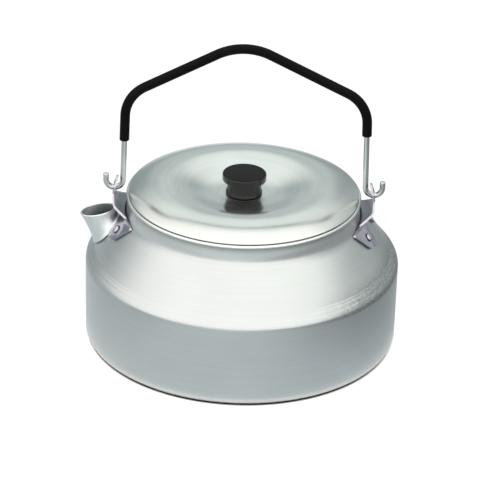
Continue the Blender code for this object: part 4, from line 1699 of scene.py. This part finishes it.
@dataclass
class Studio:
    """The pale floor, the soft lamp, the room that metal mirrors, and the camera.

    The floor is white to the camera. In the metal it shows the tints of mirrored, from its left to
    its right over twice mirrored_reach, and its dark rim under the kettle is a painted contact
    shadow.
    """

    elevation: float = math.radians(27.23)
    roll: float = math.radians(1.84)
    lens: float = 192.5
    sensor_mm: float = 36
    sight: float = 50
    place: Corner = (0.00436, -1.3317, 0.7357)
    floor_half: float = 6.0
    floor_level: float = -0.05 * MM
    glow: float = 0.92
    shadow_inner: float = 87 * MM
    shadow_outer: float = 99 * MM
    # Where and how dark the painted contact shadow is, under the kettle's edge
    contact_inner: float = 80 * MM
    contact_outer: float = 100 * MM
    painted_contact_shadow: Stops = ((0.24, "#141414"), (0.33, "#F4F4F4"))
    mirrored_reach: float = 160 * MM
    mirrored: Stops = (
        (0.0, "#D4DADC"), (0.22, "#F4F9FA"), (0.5, "#EBF3F5"), (0.75, "#DFE6E9"), (1.0, "#8E9496"))
    strength: float = 1.4
    heights: Stops = (
        (0.0, "#939C9E"), (0.38, "#959EA0"), (0.46, "#A8B1B2"), (0.60, "#F6F5EE"), (1.0, "#FFFFFA"))
    panes: tuple[Pane, ...] = (
        Pane("front", (-0.15, -0.80, 0.58), -0.30, 0.60, 1.50, "#FFF9F4"),
        Pane("ceiling", (0.22, 0.05, 0.97), 0.80, 0.97, 1.42, "#FFFDF6"),
        Pane("back_high", (0.0, 0.66, 0.75), 0.93, 0.99, 1.05, "#F6FAF6"),
        Pane("back", (0.0, 0.955, 0.295), 0.960, 0.9925, 0.62, "#F2FAF8"),
        Pane("right", (0.84, 0.48, 0.25), 0.68, 0.97, 0.60, "#F4F8F6"),
        Pane("right_high", (0.60, -0.10, 0.79), 0.85, 0.98, 1.45, "#FFFDF6"),
    )
    lamp: Softbox = Softbox(
        "front_softbox", (-0.15, -1.0, 1.45), (0, 0, 0.06), (1.5, 0.9), 10.0, "#FFFDF8")

    def camera(self) -> None:
        """Set the camera at the photo's viewing angle."""
        data = bpy.data.cameras.new("photo_camera")
        data.lens = self.lens
        data.sensor_width = self.sensor_mm
        data.clip_end = self.sight
        camera = bpy.data.objects.new("photo_camera", data)
        bpy.context.scene.collection.objects.link(camera)
        tilt = Matrix.Rotation(math.pi / 2 - self.elevation, 4, "X")
        turn = tilt @ Matrix.Rotation(self.roll, 4, "Z")
        camera.matrix_world = Matrix.Translation(Vector(self.place)) @ turn
        bpy.context.scene.camera = camera

    def floor_material(self) -> bpy.types.Material:
        """Build the floor's matte white, which glows where it is seen and keeps the shadow.

        Returns:
            The finished material.
        """
        material, tree = empty_material("matte_white_floor")
        path = add_node(tree, "ShaderNodeLightPath").outputs
        glossy = add_node(tree, "ShaderNodeMath", {
            0: path["Is Glossy Ray"], 1: path["Is Transmission Ray"]}, operation="MAXIMUM")
        seen = add_node(tree, "ShaderNodeMath", {
            0: path["Is Camera Ray"], 1: glossy.outputs[0]}, operation="MAXIMUM")
        place = add_node(tree, "ShaderNodeTexCoord").outputs["Object"]
        split = add_node(tree, "ShaderNodeSeparateXYZ", {"Vector": place})
        radius = add_node(tree, "ShaderNodeVectorMath", {
            0: place}, operation="LENGTH").outputs["Value"]
        clear = add_node(tree, "ShaderNodeMapRange", {
            "Value": radius, "From Min": self.shadow_inner, "From Max": self.shadow_outer,
            "To Min": 0.0, "To Max": self.glow}, interpolation_type="SMOOTHSTEP")
        share = add_node(tree, "ShaderNodeMath", {
            0: seen.outputs[0], 1: clear.outputs["Result"]}, operation="MULTIPLY")
        across = add_node(tree, "ShaderNodeMapRange", {
            "Value": split.outputs["X"],
            "From Min": -self.mirrored_reach, "From Max": self.mirrored_reach})
        mirrored = add_node(tree, "ShaderNodeValToRGB", {
            "Fac": across.outputs["Result"]}, self.mirrored)
        shown = add_node(tree, "ShaderNodeMix", {
            0: glossy.outputs[0], 6: linear("#FFFFFF"), 7: mirrored.outputs["Color"]},
            data_type="RGBA")
        # Painted contact shadow: the floor's colour goes dark under the kettle's edge
        reach = add_node(tree, "ShaderNodeMapRange", {
            "Value": radius, "From Min": self.contact_inner, "From Max": self.contact_outer})
        painted_contact_shadow = add_node(tree, "ShaderNodeValToRGB", {
            "Fac": reach.outputs["Result"]}, self.painted_contact_shadow)
        diffuse = add_node(tree, "ShaderNodeBsdfDiffuse", {"Color": painted_contact_shadow.outputs["Color"]})
        glow = add_node(tree, "ShaderNodeEmission", {"Color": shown.outputs[2], "Strength": 1.0})
        both = add_node(tree, "ShaderNodeMixShader", {
            0: share.outputs[0], 1: diffuse.outputs[0], 2: glow.outputs[0]})
        add_node(tree, "ShaderNodeOutputMaterial", {"Surface": both.outputs[0]})
        return material

    def floor(self) -> None:
        """Lay the floor just under the kettle."""
        corners = [
            Vector((x * self.floor_half, y * self.floor_half, self.floor_level))
            for x, y in ((-1, -1), (1, -1), (1, 1), (-1, 1))]
        floor = mesh_object("studio_floor", corners, [[0, 1, 2, 3]])
        floor.data.materials.append(self.floor_material())

    def room(self) -> None:
        """Light the room: a tone for each height, then the broad panes that metal mirrors."""
        world = bpy.data.worlds.new("studio_room")
        bpy.context.scene.world = world
        world.use_nodes = True
        tree = world.node_tree
        tree.nodes.clear()
        place = add_node(tree, "ShaderNodeTexCoord").outputs["Generated"]
        split = add_node(tree, "ShaderNodeSeparateXYZ", {"Vector": place})
        colour = add_node(tree, "ShaderNodeValToRGB", {
            "Fac": split.outputs["Z"]}, self.heights).outputs["Color"]
        for pane in self.panes:
            direction = tuple(Vector(pane.aim).normalized())
            near = add_node(tree, "ShaderNodeVectorMath", {
                0: place, 1: direction}, operation="DOT_PRODUCT")
            share = add_node(tree, "ShaderNodeMapRange", {
                "Value": near.outputs["Value"], "From Min": pane.edge, "From Max": pane.core,
                "To Min": 0.0, "To Max": 1.0}, interpolation_type="SMOOTHSTEP", label=pane.name)
            glow = [channel * pane.level for channel in linear(pane.tint)[:3]]
            colour = add_node(tree, "ShaderNodeMix", {
                0: share.outputs["Result"], 6: colour, 7: (*glow, 1.0)},
                data_type="RGBA").outputs[2]
        background = add_node(tree, "ShaderNodeBackground", {
            "Color": colour, "Strength": self.strength})
        add_node(tree, "ShaderNodeOutputWorld", {"Surface": background.outputs[0]})

    def build(self) -> None:
        """Set up the whole studio."""
        self.floor()
        self.room()
        self.lamp.hang()
        self.camera()
        bpy.context.scene.view_settings.view_transform = "Standard"


def main() -> None:
    """Build the kettle's pieces in order, then the studio round them."""
    logging.basicConfig(level=logging.INFO, format="%(name)s: %(message)s")
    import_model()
    shell = Shell()
    spout = Spout(shell)
    bail = Bail(shell)
    lugs = Lugs(shell, spout, bail)
    rivets = Rivets(shell, lugs.sheet)
    lid = Lid(shell)
    pieces = [
        *shell.dressed(spout.hole()), *spout.dressed(), *lugs.dressed(), *rivets.dressed(),
        *bail.dressed(), *lid.dressed()]
    for piece in pieces:
        LOG.info("%s is formed with %d faces", piece.name, len(piece.data.polygons))
    Studio().build()
    LOG.info("studio is ready")


if __name__ == "__main__":
    main()
